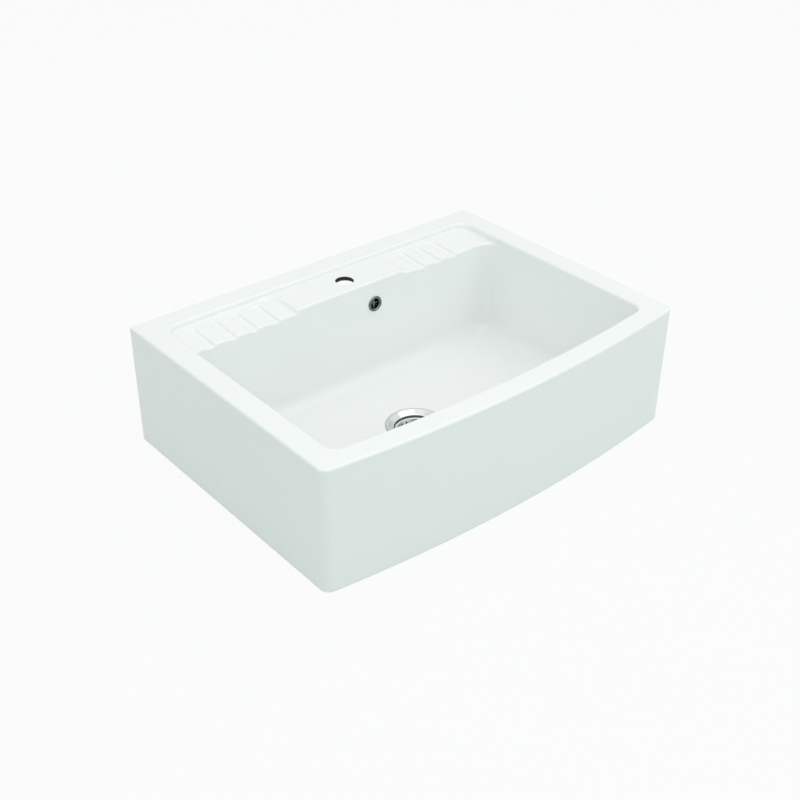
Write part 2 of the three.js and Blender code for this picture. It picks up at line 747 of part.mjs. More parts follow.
function wasteBody() {
  const innerRadius = bodyRadius - bodyWall;
  const outletBore = outletRadius - outletWall;
  const shell = toSolid(
    turnedRing(
      [
        ...bodyOutside(),
        [innerRadius, bodyTopZ],
        [innerRadius, chamberFootZ],
        [outletBore, coneEndZ],
        [outletBore, outletEndZ],
      ],
      32
    )
  );
  const envelope = toSolid(turned([[0, outletEndZ], ...bodyOutside(), [0, bodyTopZ]], 32));
  const gussetLow = bodyTopZ - bodyFlangeThickness - gussetDrop;
  const gussetSpan = bodyFlangeRadius - bodyRadius + 1;
  const gussetShape = new THREE.Shape([
    new THREE.Vector2(bodyRadius - 1, gussetLow),
    new THREE.Vector2(bodyRadius - 1 + gussetSpan, bodyTopZ - bodyFlangeThickness - 1),
    new THREE.Vector2(bodyRadius - 1 + gussetSpan, bodyTopZ - bodyFlangeThickness + 1),
    new THREE.Vector2(bodyRadius - 1, bodyTopZ - bodyFlangeThickness + 1),
  ]);
  let body = shell;
  for (let i = 0; i < gussetCount; i += 1) {
    const gusset = new THREE.ExtrudeGeometry(gussetShape, {
      depth: gussetThickness, bevelEnabled: false,
    });
    gusset.translate(0, 0, -gussetThickness / 2).rotateX(Math.PI / 2);
    const angle = Math.PI / 2 - inletTurn + ((i + 0.5) * 2 * Math.PI) / gussetCount;
    body = body.add(toSolid(gusset.rotateZ(angle)));
  }
  const bossFootZ = pinFootZ - bodyWall;
  body = body.add(toSolid(rod(bossRadius, bossFootZ, bossTopZ)));
  for (let i = 0; i < bossWebs; i += 1) {
    const half = bossWebThickness / 2;
    const web = block(0, bodyRadius, -half, half, bossFootZ, chamberFootZ + half);
    const angle = Math.PI / 2 - inletTurn + ((i + 0.5) * 2 * Math.PI) / bossWebs;
    body = body.add(toSolid(web.rotateZ(angle)).intersect(envelope));
  }
  const inlet = (radius, from, to) =>
    toSolid(
      rod(radius, from, to).rotateX(-Math.PI / 2).rotateZ(-inletTurn).translate(0, 0, inletZ)
    );
  const insertRoom = pinHole + insertWall + fit;
  body = body
    .add(inlet(spigotRadius, innerRadius + 1, inletReach))
    .subtract(inlet(spigotBore, innerRadius - 2, inletReach + 1))
    .subtract(toSolid(rod(pinHole, pinFootZ - 1, bossTopZ + 1, 20)))
    .subtract(toSolid(rod(insertRoom, bossTopZ - insertLength - 2 * fit, bossTopZ + 1, 20)));
  return toGeometry(body);
}

function bodyGasket() {
  const low = bodyTopZ + fit;
  return washer(bodyRadius - bodyWall, bodyFlangeRadius - 1, low, low + bodyGasketThickness, 32);
}

function centrePin() {
  const collarZ = cupFloorZ + fit;
  const collarTopZ = collarZ + pinCollarHeight;
  return turned(
    [
      [0, pinFootZ],
      [pinRadius - 1, pinFootZ],
      [pinRadius, pinFootZ + 1],
      [pinRadius, collarZ],
      [pinCollarRadius, collarZ],
      [pinCollarRadius, collarTopZ],
      [pinStemRadius, collarTopZ],
      [pinStemRadius, pinTopZ - 3],
      [pinBulbRadius, pinTopZ - 2],
      [pinBulbRadius, pinTopZ - 1],
      [pinStemRadius - 0.8, pinTopZ],
      [0, pinTopZ],
    ],
    16
  );
}

// ---------- strainer basket, seated in the cup ----------
const basketLipZ = basketLedgeZ + fit;
const basketLipRadius = throatRadius - 2 * fit;
const basketOutside = basketLipRadius - basketLipWidth + 0.1;
const troughZ = basketLipZ + basketSheet - basketDepth;
const troughOuter = basketOutside - basketSheet - basketTaper - 2;
const troughInner = troughOuter - troughWidth;
const crownZ = troughZ + basketCrown;
const stemHole = stemRadius + fit;
const sealTopZ = troughZ - basketSheet - fit;
const retainerTopZ = sealTopZ - sealThickness - fit;
const stemFootZ = retainerTopZ - retainerThickness;

function strainerBasket() {
  const inside = basketOutside - basketSheet;
  const wallFootZ = troughZ + 3;
  let basket = toSolid(
    turnedRing(
      [
        [basketLipRadius, basketLipZ],
        [basketLipRadius, basketLipZ + basketSheet],
        [inside + 0.8, basketLipZ + basketSheet],
        [inside, basketLipZ + 0.4],
        [inside - basketTaper, wallFootZ],
        [troughOuter, troughZ],
        [troughInner, troughZ],
        [basketCrownRadius, crownZ],
        [stemHole, crownZ],
        [stemHole, crownZ - basketSheet],
        [basketCrownRadius, crownZ - basketSheet],
        [troughInner, troughZ - basketSheet],
        [troughOuter + 0.4, troughZ - basketSheet],
        [inside - basketTaper + basketSheet, wallFootZ - 0.4],
        [basketOutside, basketLipZ],
      ],
      32
    )
  );
  const slotMiddleZ = (basketLipZ + wallFootZ) / 2;
  for (let i = 0; i < wallSlotCount; i += 1) {
    const half = wallSlotWidth / 2;
    const slot = block(
      inside - basketTaper - 2, basketOutside + 2, -half, half,
      slotMiddleZ - wallSlotHeight / 2, slotMiddleZ + wallSlotHeight / 2
    );
    basket = basket.subtract(toSolid(slot.rotateZ((i * 2 * Math.PI) / wallSlotCount)));
  }
  const ringOfHoles = (troughOuter + troughInner) / 2;
  for (let i = 0; i < troughHoleCount; i += 1) {
    const hole = rod(troughHoleRadius, troughZ - 3, troughZ + 3, 8).translate(ringOfHoles, 0, 0);
    basket = basket.subtract(toSolid(hole.rotateZ((i * 2 * Math.PI) / troughHoleCount)));
  }
  return toGeometry(basket);
}

function basketKnob() {
  const seatZ = crownZ + fit;
  const topZ = crownZ + knobHeight;
  const headZ = topZ - 5;
  return turned(
    [
      [0, topZ],
      [knobRadius - 3.2, topZ - 0.5],
      [knobRadius - 0.8, topZ - 1.8],
      [knobRadius, topZ - 3.2],
      [knobRadius - 0.8, topZ - 4.6],
      [knobNeckRadius + 1, headZ - 1.5],
      [knobNeckRadius, headZ - 4],
      [knobNeckRadius, seatZ + 2.4],
      [stemRadius + 2.6, seatZ + 1.2],
      [stemRadius + 3.4, seatZ],
      [stemRadius, seatZ],
      [stemRadius, stemFootZ],
      [pinBulbRadius + fit, stemFootZ],
      [pinBulbRadius + fit, pinTopZ + 2],
      [0, pinTopZ + 3],
    ],
    20
  );
}

function basketSeal() {
  const lowZ = cupFloorZ + fit;
  return turnedRing(
    [
      [stemHole, crownZ - basketSheet - fit],
      [stemHole, sealTopZ - sealThickness],
      [sealLipRadius - 3, sealTopZ - sealThickness],
      [sealLipRadius - 1.4, lowZ],
      [sealLipRadius, lowZ],
      [sealLipRadius, sealTopZ - 1.5],
      [troughOuter - 2, sealTopZ],
      [troughInner - 0.2, sealTopZ],
      [basketCrownRadius - 0.2, crownZ - basketSheet - fit],
    ],
    28
  );
}

// ---------- hose and its two connections, drawn from the spigot's face along +z ----------
const collarStart = 2 * fit + hoseSealThickness;
const nutEnd = collarStart + collarThickness + fit + nutLip;

const hoseSeal = () => washer(spigotBore, spigotRadius, fit, fit + hoseSealThickness, 20);

function ringNut() {
  const outline = arcSteps(nutGripCount * 4).slice(0, -1).map((t) => {
    const wave = (1 + Math.cos(t * nutGripCount * 2 * Math.PI)) / 2;
    const radius = nutRadius - nutGrip * wave;
    return new THREE.Vector2(radius, 0).rotateAround(new THREE.Vector2(), t * 2 * Math.PI);
  });
  const depth = nutReach + nutEnd;
  const blank = new THREE.ExtrudeGeometry(new THREE.Shape(outline), {
    depth, bevelEnabled: false,
  });
  const bore = turned(
    [
      [0, -nutReach - 1],
      [spigotRadius + fit, -nutReach - 1],
      [spigotRadius + fit, nutEnd - nutLip],
      [cuffRadius + fit, nutEnd - nutLip],
      [cuffRadius + fit, nutEnd + 1],
      [0, nutEnd + 1],
    ],
    20
  );
  return toGeometry(toSolid(blank.translate(0, 0, -nutReach)).subtract(toSolid(bore)));
}

const elbowMouth = new THREE.Group();
elbowMouth.position.set(0, -elbowSpigotLength, elbowAxisZ);
elbowMouth.rotation.x = Math.PI / 2;
overflow.add(elbowMouth);

const inletMouth = new THREE.Group();
const inletDirection = new THREE.Vector3(Math.sin(inletTurn), Math.cos(inletTurn), 0);
inletMouth.position.copy(inletDirection).multiplyScalar(inletReach).setZ(inletZ);
inletMouth.quaternion.setFromUnitVectors(new THREE.Vector3(0, 0, 1), inletDirection);
waste.add(inletMouth);

// Middle line of the hose: out of each nut along its own axis, with one bend between.
function hosePath() {
  overflow.updateMatrixWorld(true);
  waste.updateMatrixWorld(true);
  const start = elbowMouth.localToWorld(new THREE.Vector3(0, 0, collarStart));
  const end = inletMouth.localToWorld(new THREE.Vector3(0, 0, collarStart));
  const down = elbowMouth.localToWorld(new THREE.Vector3(0, 0, collarStart + 1)).sub(start);
  const out = inletDirection.clone();
  const across = Math.hypot(start.x - end.x, start.y - end.y);
  const bendStart = start.clone().addScaledVector(down, start.z - end.z - hoseBendRadius);
  const bendEnd = end.clone().addScaledVector(out, across - hoseBendRadius);
  const handle = hoseBendRadius * (4 / 3) * (Math.SQRT2 - 1);
  const path = new THREE.CurvePath();
  path.add(new THREE.LineCurve3(start, bendStart));
  path.add(
    new THREE.CubicBezierCurve3(
      bendStart,
      bendStart.clone().addScaledVector(down, handle),
      bendEnd.clone().addScaledVector(out, handle),
      bendEnd
    )
  );
  path.add(new THREE.LineCurve3(bendEnd, end));
  return path;
}

// Tube wall as a closed loop of [distance along the path, radius] rings: out along the
// collars, cuffs and ribs, and back along the bore.
function overflowHose() {
  const path = hosePath();
  const length = path.getLength();
  const ribbed = length - 2 * (collarThickness + cuffLength);
  const ribCount = Math.floor(ribbed / ribPitch);
  const firstRib = (length - ribCount * ribPitch) / 2;
  const outside = [[0, collarRadius], [collarThickness, collarRadius]];
  outside.push([collarThickness, cuffRadius], [firstRib, cuffRadius]);
  const bore = [[0, hoseBore]];
  for (let i = 0; i < ribCount; i += 1) {
    const at = firstRib + i * ribPitch;
    outside.push([at + ribPitch / 3, ribRadius], [at + ribPitch, ribValleyRadius]);
    if (i % 2 === 0) bore.push([at + ribPitch / 2, hoseBore]);
  }
  outside.pop();
  outside.push([length - firstRib, cuffRadius], [length - collarThickness, cuffRadius]);
  outside.push([length - collarThickness, collarRadius], [length, collarRadius]);
  bore.push([length, hoseBore]);
  const rings = [...outside, ...bore.reverse()];
  const sideways = new THREE.Vector3().crossVectors(inletDirection, new THREE.Vector3(0, 0, 1));
  const positions = [];
  for (const [distance, radius] of rings) {
    const t = THREE.MathUtils.clamp(distance / length, 0, 1);
    const centre = path.getPoint(t);
    const other = new THREE.Vector3().crossVectors(path.getTangent(t), sideways).normalize();
    for (let side = 0; side < hoseSides; side += 1) {
      const angle = (side * 2 * Math.PI) / hoseSides;
      const point = centre.clone()
        .addScaledVector(sideways, radius * Math.cos(angle))
        .addScaledVector(other, radius * Math.sin(angle));
      positions.push(point.x, point.y, point.z);
    }
  }
  const index = [];
  for (let ring = 0; ring < rings.length; ring += 1) {
    const next = (ring + 1) % rings.length;
    for (let side = 0; side < hoseSides; side += 1) {
      const a = ring * hoseSides + side;
      const b = ring * hoseSides + ((side + 1) % hoseSides);
      const c = next * hoseSides + ((side + 1) % hoseSides);
      const d = next * hoseSides + side;
      index.push(a, b, c, a, c, d);
    }
  }
  const geometry = new THREE.BufferGeometry();
  geometry.setAttribute("position", new THREE.Float32BufferAttribute(positions, 3));
  geometry.setIndex(index);
  return geometry;
}

// ---------- the assembly ----------
const sink = new THREE.Group();
sink.add(overflow, waste);

function place(parent, name, geometry, material) {
  const mesh = new THREE.Mesh(geometry, material);
  mesh.name = name;
  parent.add(mesh);
}

place(sink, "sink_basin", sinkBasin(), glaze());

place(overflow, "overflow_ring", overflowRing(), chrome());
place(overflow, "overflow_screw", overflowScrew(), chrome());
const gasketLow = elbowGasketTop - overflowGasketThickness;
const overflowGasket = washer(
  overflowHoleRadius, elbowFlangeRadius, gasketLow, elbowGasketTop, 24
);
place(overflow, "overflow_gasket", overflowGasket, blackRubber());
place(overflow, "overflow_elbow", overflowElbow(), greyPlastic());
const elbowInsertTop = elbowBossTop - fit;
place(
  overflow,
  "overflow_insert",
  washer(bossHole, insertRadius, elbowInsertTop - insertLength + fit, elbowInsertTop, 20),
  brass()
);
place(elbowMouth, "elbow_seal", hoseSeal(), greyRubber());
place(elbowMouth, "elbow_nut", ringNut(), whitePlastic());
place(sink, "overflow_hose", overflowHose(), whitePlastic());
place(inletMouth, "inlet_seal", hoseSeal(), greyRubber());
place(inletMouth, "inlet_nut", ringNut(), whitePlastic());

place(waste, "strainer_cup", strainerCup(), polishedSteel());
place(waste, "cup_gasket", cupGasket(), greyRubber());
place(waste, "waste_body", wasteBody(), whitePlastic());
place(waste, "body_gasket", bodyGasket(), blackRubber());
place(waste, "centre_pin", centrePin(), polishedSteel());
const insertTopZ = bossTopZ - fit;
place(
  waste,
  "waste_insert",
  washer(pinHole, pinHole + insertWall, insertTopZ - insertLength, insertTopZ, 20),
  brass()
);

place(waste, "strainer_basket", strainerBasket(), polishedSteel());
place(waste, "basket_knob", basketKnob(), chrome());
place(waste, "basket_seal", basketSeal(), blackRubber());
place(
  waste,
  "seal_retainer",
  washer(stemHole, retainerRadius, stemFootZ, retainerTopZ, 24),
  brass()
);

export default sink;
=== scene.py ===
"""Farmhouse apron front sink: glazed basin, basket waste and overflow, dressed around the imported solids."""

import math

import bmesh
import bpy
import numpy as np
from bpy.props import FloatProperty, FloatVectorProperty, IntProperty, PointerProperty
from mathutils import Matrix, Vector


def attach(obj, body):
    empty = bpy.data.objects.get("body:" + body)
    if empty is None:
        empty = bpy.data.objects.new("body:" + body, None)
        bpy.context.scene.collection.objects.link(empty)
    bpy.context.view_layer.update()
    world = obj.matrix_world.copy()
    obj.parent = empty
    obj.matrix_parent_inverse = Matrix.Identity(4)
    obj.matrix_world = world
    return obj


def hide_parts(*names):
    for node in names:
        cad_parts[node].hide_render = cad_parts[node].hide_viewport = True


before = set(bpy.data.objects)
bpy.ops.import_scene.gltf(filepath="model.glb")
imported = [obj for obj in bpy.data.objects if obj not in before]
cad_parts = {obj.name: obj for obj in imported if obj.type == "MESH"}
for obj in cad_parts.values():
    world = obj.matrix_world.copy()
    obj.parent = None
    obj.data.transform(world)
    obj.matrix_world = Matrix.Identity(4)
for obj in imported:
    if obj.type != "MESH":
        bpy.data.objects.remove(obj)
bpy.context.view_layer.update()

bl_info = {
    "name": "Apron front sink",
    "version": (1, 0, 0),
    "blender": (4, 5, 0),
    "location": "View3D > Sidebar > Sink",
    "description": "Builds the fireclay basin, its basket waste, its overflow and a plain studio",
    "category": "Object",
}

REACH = 0.001  # how far a cutter, or a piece that is joined on, goes past the face it meets
SKIN = 3e-5  # how far the edge of a rounded cutter stands above the face it opens
THIN_SKIN = 2e-5  # the same round the tap hole and the seat
SPIGOT_THREAD = {"Depth": 0.0006, "Pitch": 0.002}  # thread on both ends that take the hose


# ---------- property helpers ----------
def length(name, description, default):
    """A size in metres."""
    return FloatProperty(name=name, description=description, default=default, unit="LENGTH", precision=5)


def angle(name, description, degrees):
    """An angle, given in degrees."""
    return FloatProperty(name=name, description=description, default=math.radians(degrees), subtype="ANGLE")


def count(name, description, default):
    """A whole number of repeats."""
    return IntProperty(name=name, description=description, default=default, min=1)


def level(name, description, default):
    """A plain number."""
    return FloatProperty(name=name, description=description, default=default, precision=4)


def colour(name, description, default):
    """A linear colour."""
    return FloatVectorProperty(
        name=name, description=description, default=default, subtype="COLOR", size=3, min=0, max=1
    )


# ---------- sizes a user would change ----------
class SinkBasinSizes(bpy.types.PropertyGroup):
    """Sizes of the ceramic basin"""

    width: length("Width", "Outside width of the basin", 0.8)
    side_depth: length("Side depth", "Back face to the line through the front corners", 0.562)
    bow: length("Apron bow", "How far the middle of the apron stands past its corners", 0.028)
    height: length("Height", "Foot of the skirt to the rim", 0.239)
    rim: length("Rim width", "Flat rim on both sides and at the back", 0.045)
    front_rim: length("Front rim width", "Flat rim along the apron", 0.041)
    wall: length("Wall", "Thickness of the clay", 0.013)
    front_corner: length("Front corner", "Radius of the upright front corners", 0.018)
    back_corner: length("Back corner", "Radius of the upright back corners", 0.005)
    foot_radius: length("Foot radius", "Rounding at the foot of the skirt", 0.003)
    rim_radius: length("Rim radius", "Rounding of the rim's edges", 0.005)
    floor_rise: length("Floor rise", "Outer edge of the bowl floor above the foot of the skirt", 0.027)
    floor_fall: length("Floor fall", "From the edge of the floor down to the waste", 0.004)
    wall_lean: angle("Wall lean", "Lean of the bowl walls", 1.8)
    bowl_front: length("Bowl front corner", "Radius of the bowl's front corners", 0.024)
    bowl_back: length("Bowl back corner", "Radius of the bowl's back corners", 0.03)
    bowl_fillet: length("Bowl fillet", "Radius between wall and floor", 0.03)
    ledge: length("Ledge width", "Back step to the bowl", 0.08)
    platform_drop: length("Platform drop", "Tap platform below the rim", 0.008)
    ledge_corner: length("Ledge corner", "Radius of the ledge's back corners", 0.03)
    ledge_fillet: length("Ledge fillet", "Radius at the foot of the step", 0.004)
    step_radius: length("Step radius", "Rounding at the top of the step", 0.005)
    lip_radius: length("Lip radius", "Rounded edge between ledge and bowl", 0.0045)
    platform: length("Platform width", "Width of the tap platform", 0.256)
    platform_corner: length("Platform flare", "Radius where the platform meets the back step", 0.036)
    platform_ramp: length("Platform ramp", "Half the width of the soft step left of the platform", 0.0028)
    right_ramp: level("Right ramp", "How many times wider the step on the right is", 4.0)
    drainer_back: length("Drainer at the back", "Drainer floor below the rim at the back step", 0.012)
    drainer_lip: length("Drainer at the lip", "Drainer floor below the rim at the bowl", 0.015)
    ledge_depth: length("Ledge depth", "Underside of the ledge below the rim", 0.033)
    left_grooves: count("Left grooves", "Drainer grooves left of the platform", 4)
    left_first: length("First left groove", "From the middle of the sink", 0.1715)
    left_pitch: length("Left groove pitch", "From one groove to the next", 0.0458)
    right_grooves: count("Right grooves", "Drainer grooves right of the platform", 3)
    right_first: length("First right groove", "From the middle of the sink", 0.176)
    right_pitch: length("Right groove pitch", "From one groove to the next", 0.0408)
    groove_half: length("Groove half width", "Middle of a groove to its edge", 0.0065)
    groove_wall: length("Groove wall", "Width of the rounded wall on the right of a groove", 0.0026)
    groove_flank: length("Groove flank", "Width of the gentle slope on the left of a groove", 0.02)
    groove_back_depth: length("Groove back depth", "Depth where a groove begins", 0.0026)
    groove_lip_depth: length("Groove lip depth", "Depth at the bowl", 0.004)
    groove_length: length("Groove length", "From the bowl towards the back", 0.068)
    tap_radius: length("Tap hole radius", "Radius of the tap hole", 0.0175)
    tap_offset: length("Tap hole offset", "Tap hole to the right of the middle", 0.011)
    tap_from_lip: length("Tap hole from lip", "Bowl edge to the middle of the tap hole", 0.0365)
    tap_edge: length("Tap hole edge", "Rounding round the tap hole", 0.0012)
    tap_recess: length("Tap recess radius", "Thinner clay under the hole", 0.025)
    tap_recess_depth: length("Tap recess depth", "How much thinner the clay is there", 0.005)
    rail: length("Rear rail", "Back wall kept below the rim", 0.055)
    rear_return: length("Rear return", "Back wall kept at each end", 0.06)
    opening_radius: length("Opening radius", "Corners of the rear opening", 0.02)
    waste_from_back: length("Waste from back", "Back face to the waste centre", 0.313)
    waste_hole: length("Waste hole radius", "Radius of the hole for the waste", 0.045)
    seat_radius: length("Seat radius", "Recess that the flange sits in", 0.057)
    seat_depth: length("Seat depth", "Depth of that recess", 0.0025)
    seat_bevel: length("Seat bevel", "Bevel between seat and hole", 0.004)
    land_radius: length("Land radius", "Flat land under the floor", 0.078)
    overflow_offset: length("Overflow offset", "Overflow to the right of the middle", 0.054)
    overflow_drop: length("Overflow drop", "Overflow centre below the rim", 0.0563)
    overflow_hole: length("Overflow hole radius", "Radius of the hole in the wall", 0.012)


class SinkWasteSizes(bpy.types.PropertyGroup):
    """Sizes of the waste: cup, plastic body, pin and gaskets"""

    fit: length("Fit", "Clearance between pieces that touch", 0.0003)
    sheet: length("Sheet", "Steel of the cup", 0.0012)
    flange_radius: length("Flange radius", "Outside of the cup's flange", 0.0555)
    flange_crown: length("Flange crown", "Flange top above its underside", 0.0018)
    flange_land: length("Flange land", "Width of the flange outside its cone", 0.004)
    throat: length("Throat radius", "Inside of the cup above the basket's ledge", 0.0402)
    throat_depth: length("Throat depth", "Flange crown to the foot of its cone", 0.0069)
    ledge_in_cup: length("Basket ledge", "Flange crown to the ledge that carries the basket", 0.0114)
    cup: length("Cup radius", "Inside of the cup below the ledge", 0.0365)
    cup_depth: length("Cup depth", "Flange crown to the cup's floor", 0.0372)
    cup_bend: length("Cup bend", "Radius between the cup's wall and floor", 0.007)
    cup_gasket: length("Cup gasket", "Thickness of the gasket under the flange", 0.0015)
    waterway_inner: length("Waterway inner", "Inner radius of the openings in the cup's floor", 0.008)
    waterway_outer: length("Waterway outer", "Outer radius of those openings", 0.025)
    waterway_arm: length("Waterway arm", "Width of the arms between them", 0.005)
    waterways: count("Waterways", "Openings in the cup's floor", 4)
    body_gasket: length("Body gasket", "Thickness of the gasket under the bowl", 0.003)
    body_flange: length("Body flange radius", "Outside of the body's flange", 0.058)
    body_flange_thickness: length("Body flange", "Thickness of the body's flange", 0.005)
    body_radius: length("Body radius", "Outside of the chamber", 0.05)
    body_wall: length("Body wall", "Wall of the chamber", 0.0035)
    chamber_depth: length("Chamber depth", "Flange top to the cone", 0.03)
    cone_depth: length("Cone depth", "Height of the cone", 0.02)
    outlet: length("Outlet radius", "Outlet over its thread", 0.024)
    outlet_wall: length("Outlet wall", "Wall of the outlet", 0.003)
    outlet_length: length("Outlet length", "Cone to the end of the outlet", 0.041)
    outlet_pitch: length("Outlet pitch", "Pitch of the outlet's thread", 0.0028)
    gussets: count("Gussets", "Ribs under the body's flange", 12)
    gusset: length("Gusset", "Thickness of a rib", 0.0025)
    gusset_drop: length("Gusset drop", "Height of a rib", 0.012)
    pin: length("Pin radius", "Centre pin", 0.003)
    pin_length: length("Pin length", "Pin below the cup's floor", 0.022)
    pin_collar: length("Pin collar", "Radius of the pin's collar", 0.006)
    pin_collar_height: length("Pin collar height", "Thickness of that collar", 0.0015)
    pin_stem: length("Pin stem", "Radius of the pin above its collar", 0.0026)
    pin_stem_height: length("Pin stem height", "Pin above its collar", 0.0155)
    boss: length("Boss radius", "Boss that carries the pin", 0.008)
    webs: count("Webs", "Webs that hold the boss", 3)
    web: length("Web", "Thickness of a web", 0.003)
    insert_wall: length("Insert wall", "Wall of the brass inserts", 0.002)
    insert_length: length("Insert length", "Length of the brass inserts", 0.008)
    inlet_reach: length("Inlet reach", "Waste axis to the face of the side inlet", 0.072)
    inlet_drop: length("Inlet drop", "Inlet axis below the top of the body", 0.0204)


class SinkBasketSizes(bpy.types.PropertyGroup):
    """Sizes of the lift-out basket strainer"""

    basket_sheet: length("Basket sheet", "Steel of the basket", 0.0011)
    lip_width: length("Lip width", "Basket's lip", 0.004)
    basket_depth: length("Basket depth", "Lip top to the trough", 0.0187)
    basket_taper: length("Basket taper", "How far the wall draws in", 0.003)
    trough: length("Trough width", "Flat ring at the foot of the wall", 0.005)
    basket_crown: length("Basket crown", "Middle of the basket above the trough", 0.0044)
    crown_top: length("Crown radius", "Flat in the middle of the basket", 0.011)
    wall_slots: count("Wall slots", "Upright slots in the wall", 18)
    slot_width: length("Slot width", "Width of a wall slot", 0.003)
    slot_height: length("Slot height", "Height of a wall slot", 0.009)
    trough_holes: count("Trough holes", "Round holes in the trough", 14)
    trough_hole: length("Trough hole radius", "Radius of those holes", 0.002)
    knob: length("Knob radius", "Widest part of the knob", 0.0112)
    knob_height: length("Knob height", "Knob above the basket's crown", 0.0165)
    knob_neck: length("Knob neck", "Radius of the knob's neck", 0.005)
    stem: length("Stem radius", "Stem of the knob", 0.0057)
    seal_lip: length("Seal radius", "Rubber seal under the basket", 0.029)
    seal_thickness: length("Seal thickness", "Thickness of that seal", 0.003)
    retainer: length("Retainer radius", "Ring that holds the seal", 0.01)
    retainer_thickness: length("Retainer thickness", "Thickness of that ring", 0.0016)


class SinkOverflowSizes(bpy.types.PropertyGroup):
    """Sizes of the overflow: ring, elbow, hose and nuts"""

    ring: length("Ring radius", "Outside of the ring in the bowl", 0.0155)
    ring_height: length("Ring height", "Ring in front of the wall", 0.003)
    ring_bore: length("Ring bore", "Inside of the ring", 0.01)
    sleeve: length("Sleeve length", "Ring's sleeve in the wall", 0.011)
    grille_depth: length("Grille depth", "Grille behind the face of the wall", 0.003)
    grille: length("Grille thickness", "Thickness of the grille", 0.002)
    arms: count("Grille arms", "Arms of the grille", 4)
    arm_width: length("Arm width", "Width of a grille arm", 0.0024)
    hub: length("Hub radius", "Middle of the grille", 0.0045)
    screw: length("Screw radius", "Screw through the hub", 0.0025)
    screw_head: length("Screw head", "Radius of its head", 0.004)
    head_height: length("Head height", "Height of its head", 0.002)
    screw_length: length("Screw length", "Screw below its head", 0.031)
    overflow_gasket: length("Overflow gasket", "Gasket behind the wall", 0.003)
    elbow_flange: length("Elbow flange radius", "Elbow's flange", 0.022)
    elbow_flange_thickness: length("Elbow flange", "Thickness of that flange", 0.003)
    elbow: length("Elbow radius", "Outside of the elbow", 0.016)
    elbow_wall: length("Elbow wall", "Wall of the elbow", 0.003)
    elbow_length: length("Elbow length", "Flange to the closed end", 0.034)
    spigot: length("Spigot radius", "Outside of both hose connections", 0.0125)
    spigot_bore: length("Spigot bore", "Inside of them", 0.01)
    elbow_spigot: length("Elbow spigot", "Spigot below the elbow's axis", 0.033)
    hose_seal: length("Hose seal", "Seal at each end of the hose", 0.002)
    collar: length("Collar radius", "Collar at each end of the hose", 0.0123)
    collar_thickness: length("Collar thickness", "Thickness of that collar", 0.003)
    cuff: length("Cuff radius", "Plain end of the hose", 0.0102)
    cuff_length: length("Cuff length", "Length of the plain end", 0.011)
    hose_bore: length("Hose bore", "Inside radius of the hose", 0.0085)
    rib: length("Rib radius", "Hose over its ribs", 0.013)
    rib_valley: length("Rib valley", "Hose between its ribs", 0.0109)
    rib_pitch: length("Rib pitch", "From one rib to the next", 0.006)
    hose_bend: length("Hose bend", "Radius of the hose's bend", 0.059)
    nut: length("Nut radius", "Outside of the ring nuts", 0.017)
    nut_grip: length("Nut grip", "Depth of the finger grips", 0.0012)
    nut_grips: count("Nut grips", "Grips round a nut", 12)
    nut_reach: length("Nut reach", "Nut over the spigot", 0.009)
    nut_lip: length("Nut lip", "Nut's end wall", 0.003)


class SinkFinishes(bpy.types.PropertyGroup):
    """Colours of the finishes"""

    glaze: colour("Glaze", "White fireclay glaze", (0.87, 0.915, 0.902))
    clay: colour("Bare clay", "Unglazed clay at the foot", (0.62, 0.55, 0.45))
    # bore: near-black painted shade for the wall inside the tap hole, standing in for the shadow there
    bore: colour("Bore", "Raw edge inside the tap hole", (0.02, 0.026, 0.026))
    # deep: darker steel painted inside the cup below its cone as shade, standing in for the shadow in the
    # throat
    deep: colour("Deep steel", "Inside of the cup under its cone", (0.16, 0.17, 0.17))
    chrome: colour("Chrome", "Chromed brass", (0.72, 0.74, 0.75))
    # ring: chrome tone darkened to paint in the dark reflections of the overflow ring and its screw
    ring: colour("Overflow ring", "Darker satin chrome", (0.16, 0.205, 0.2))
    steel: colour("Steel", "Stainless sheet", (0.92, 0.935, 0.93))
    brass: colour("Brass", "Bare brass", (0.58, 0.42, 0.17))
    black_rubber: colour("Black rubber", "Seals", (0.018, 0.018, 0.02))
    grey_rubber: colour("Grey rubber", "Gaskets", (0.15, 0.16, 0.165))
    white_plastic: colour("White plastic", "Waste body, hose and nuts", (0.78, 0.79, 0.77))
    grey_plastic: colour("Grey plastic", "Overflow elbow", (0.42, 0.44, 0.44))


class SinkStudio(bpy.types.PropertyGroup):
    """Light and camera"""

    floor: colour("Floor", "Pale floor", (0.58, 0.62, 0.61))
    horizon: colour("Horizon", "Light from the sides", (0.5, 0.66, 0.57))
    zenith: colour("Zenith", "Light from above", (0.765, 0.75, 0.785))
    sky: level("Sky light", "Strength of the even light from all round", 1.0)
    top_lamp: level("Top lamp", "Power of the large lamp overhead, in watts", 3.5)
    front_lamp: level("Front lamp", "Power of the lamp in front, in watts", 31.0)
    side_lamp: level("Side lamp", "Power of the lamp on the left, in watts", 9.5)
    eye: FloatVectorProperty(
        name="Eye", description="Where the camera stands", default=(-1.2574, -1.4472, 1.3016), subtype="XYZ"
    )
    yaw: angle("Yaw", "Camera heading", 40.442)
    pitch: angle("Pitch", "Camera angle below level", 32.749)
    roll: angle("Roll", "Camera roll", 0.534)
    lens: level("Lens", "Focal length in millimetres", 55.3)


# ---------- mesh helpers ----------
def new_object(name, verts, faces, material=None, edges=()):
    """An object in the scene from points and faces."""
    mesh = bpy.data.meshes.new(name)
    mesh.from_pydata([tuple(map(float, v)) for v in verts], edges, [tuple(map(int, f)) for f in faces])
    mesh.validate()
    made = bpy.data.objects.new(name, mesh)
    bpy.context.scene.collection.objects.link(made)
    if material:
        mesh.materials.append(material)
    return made


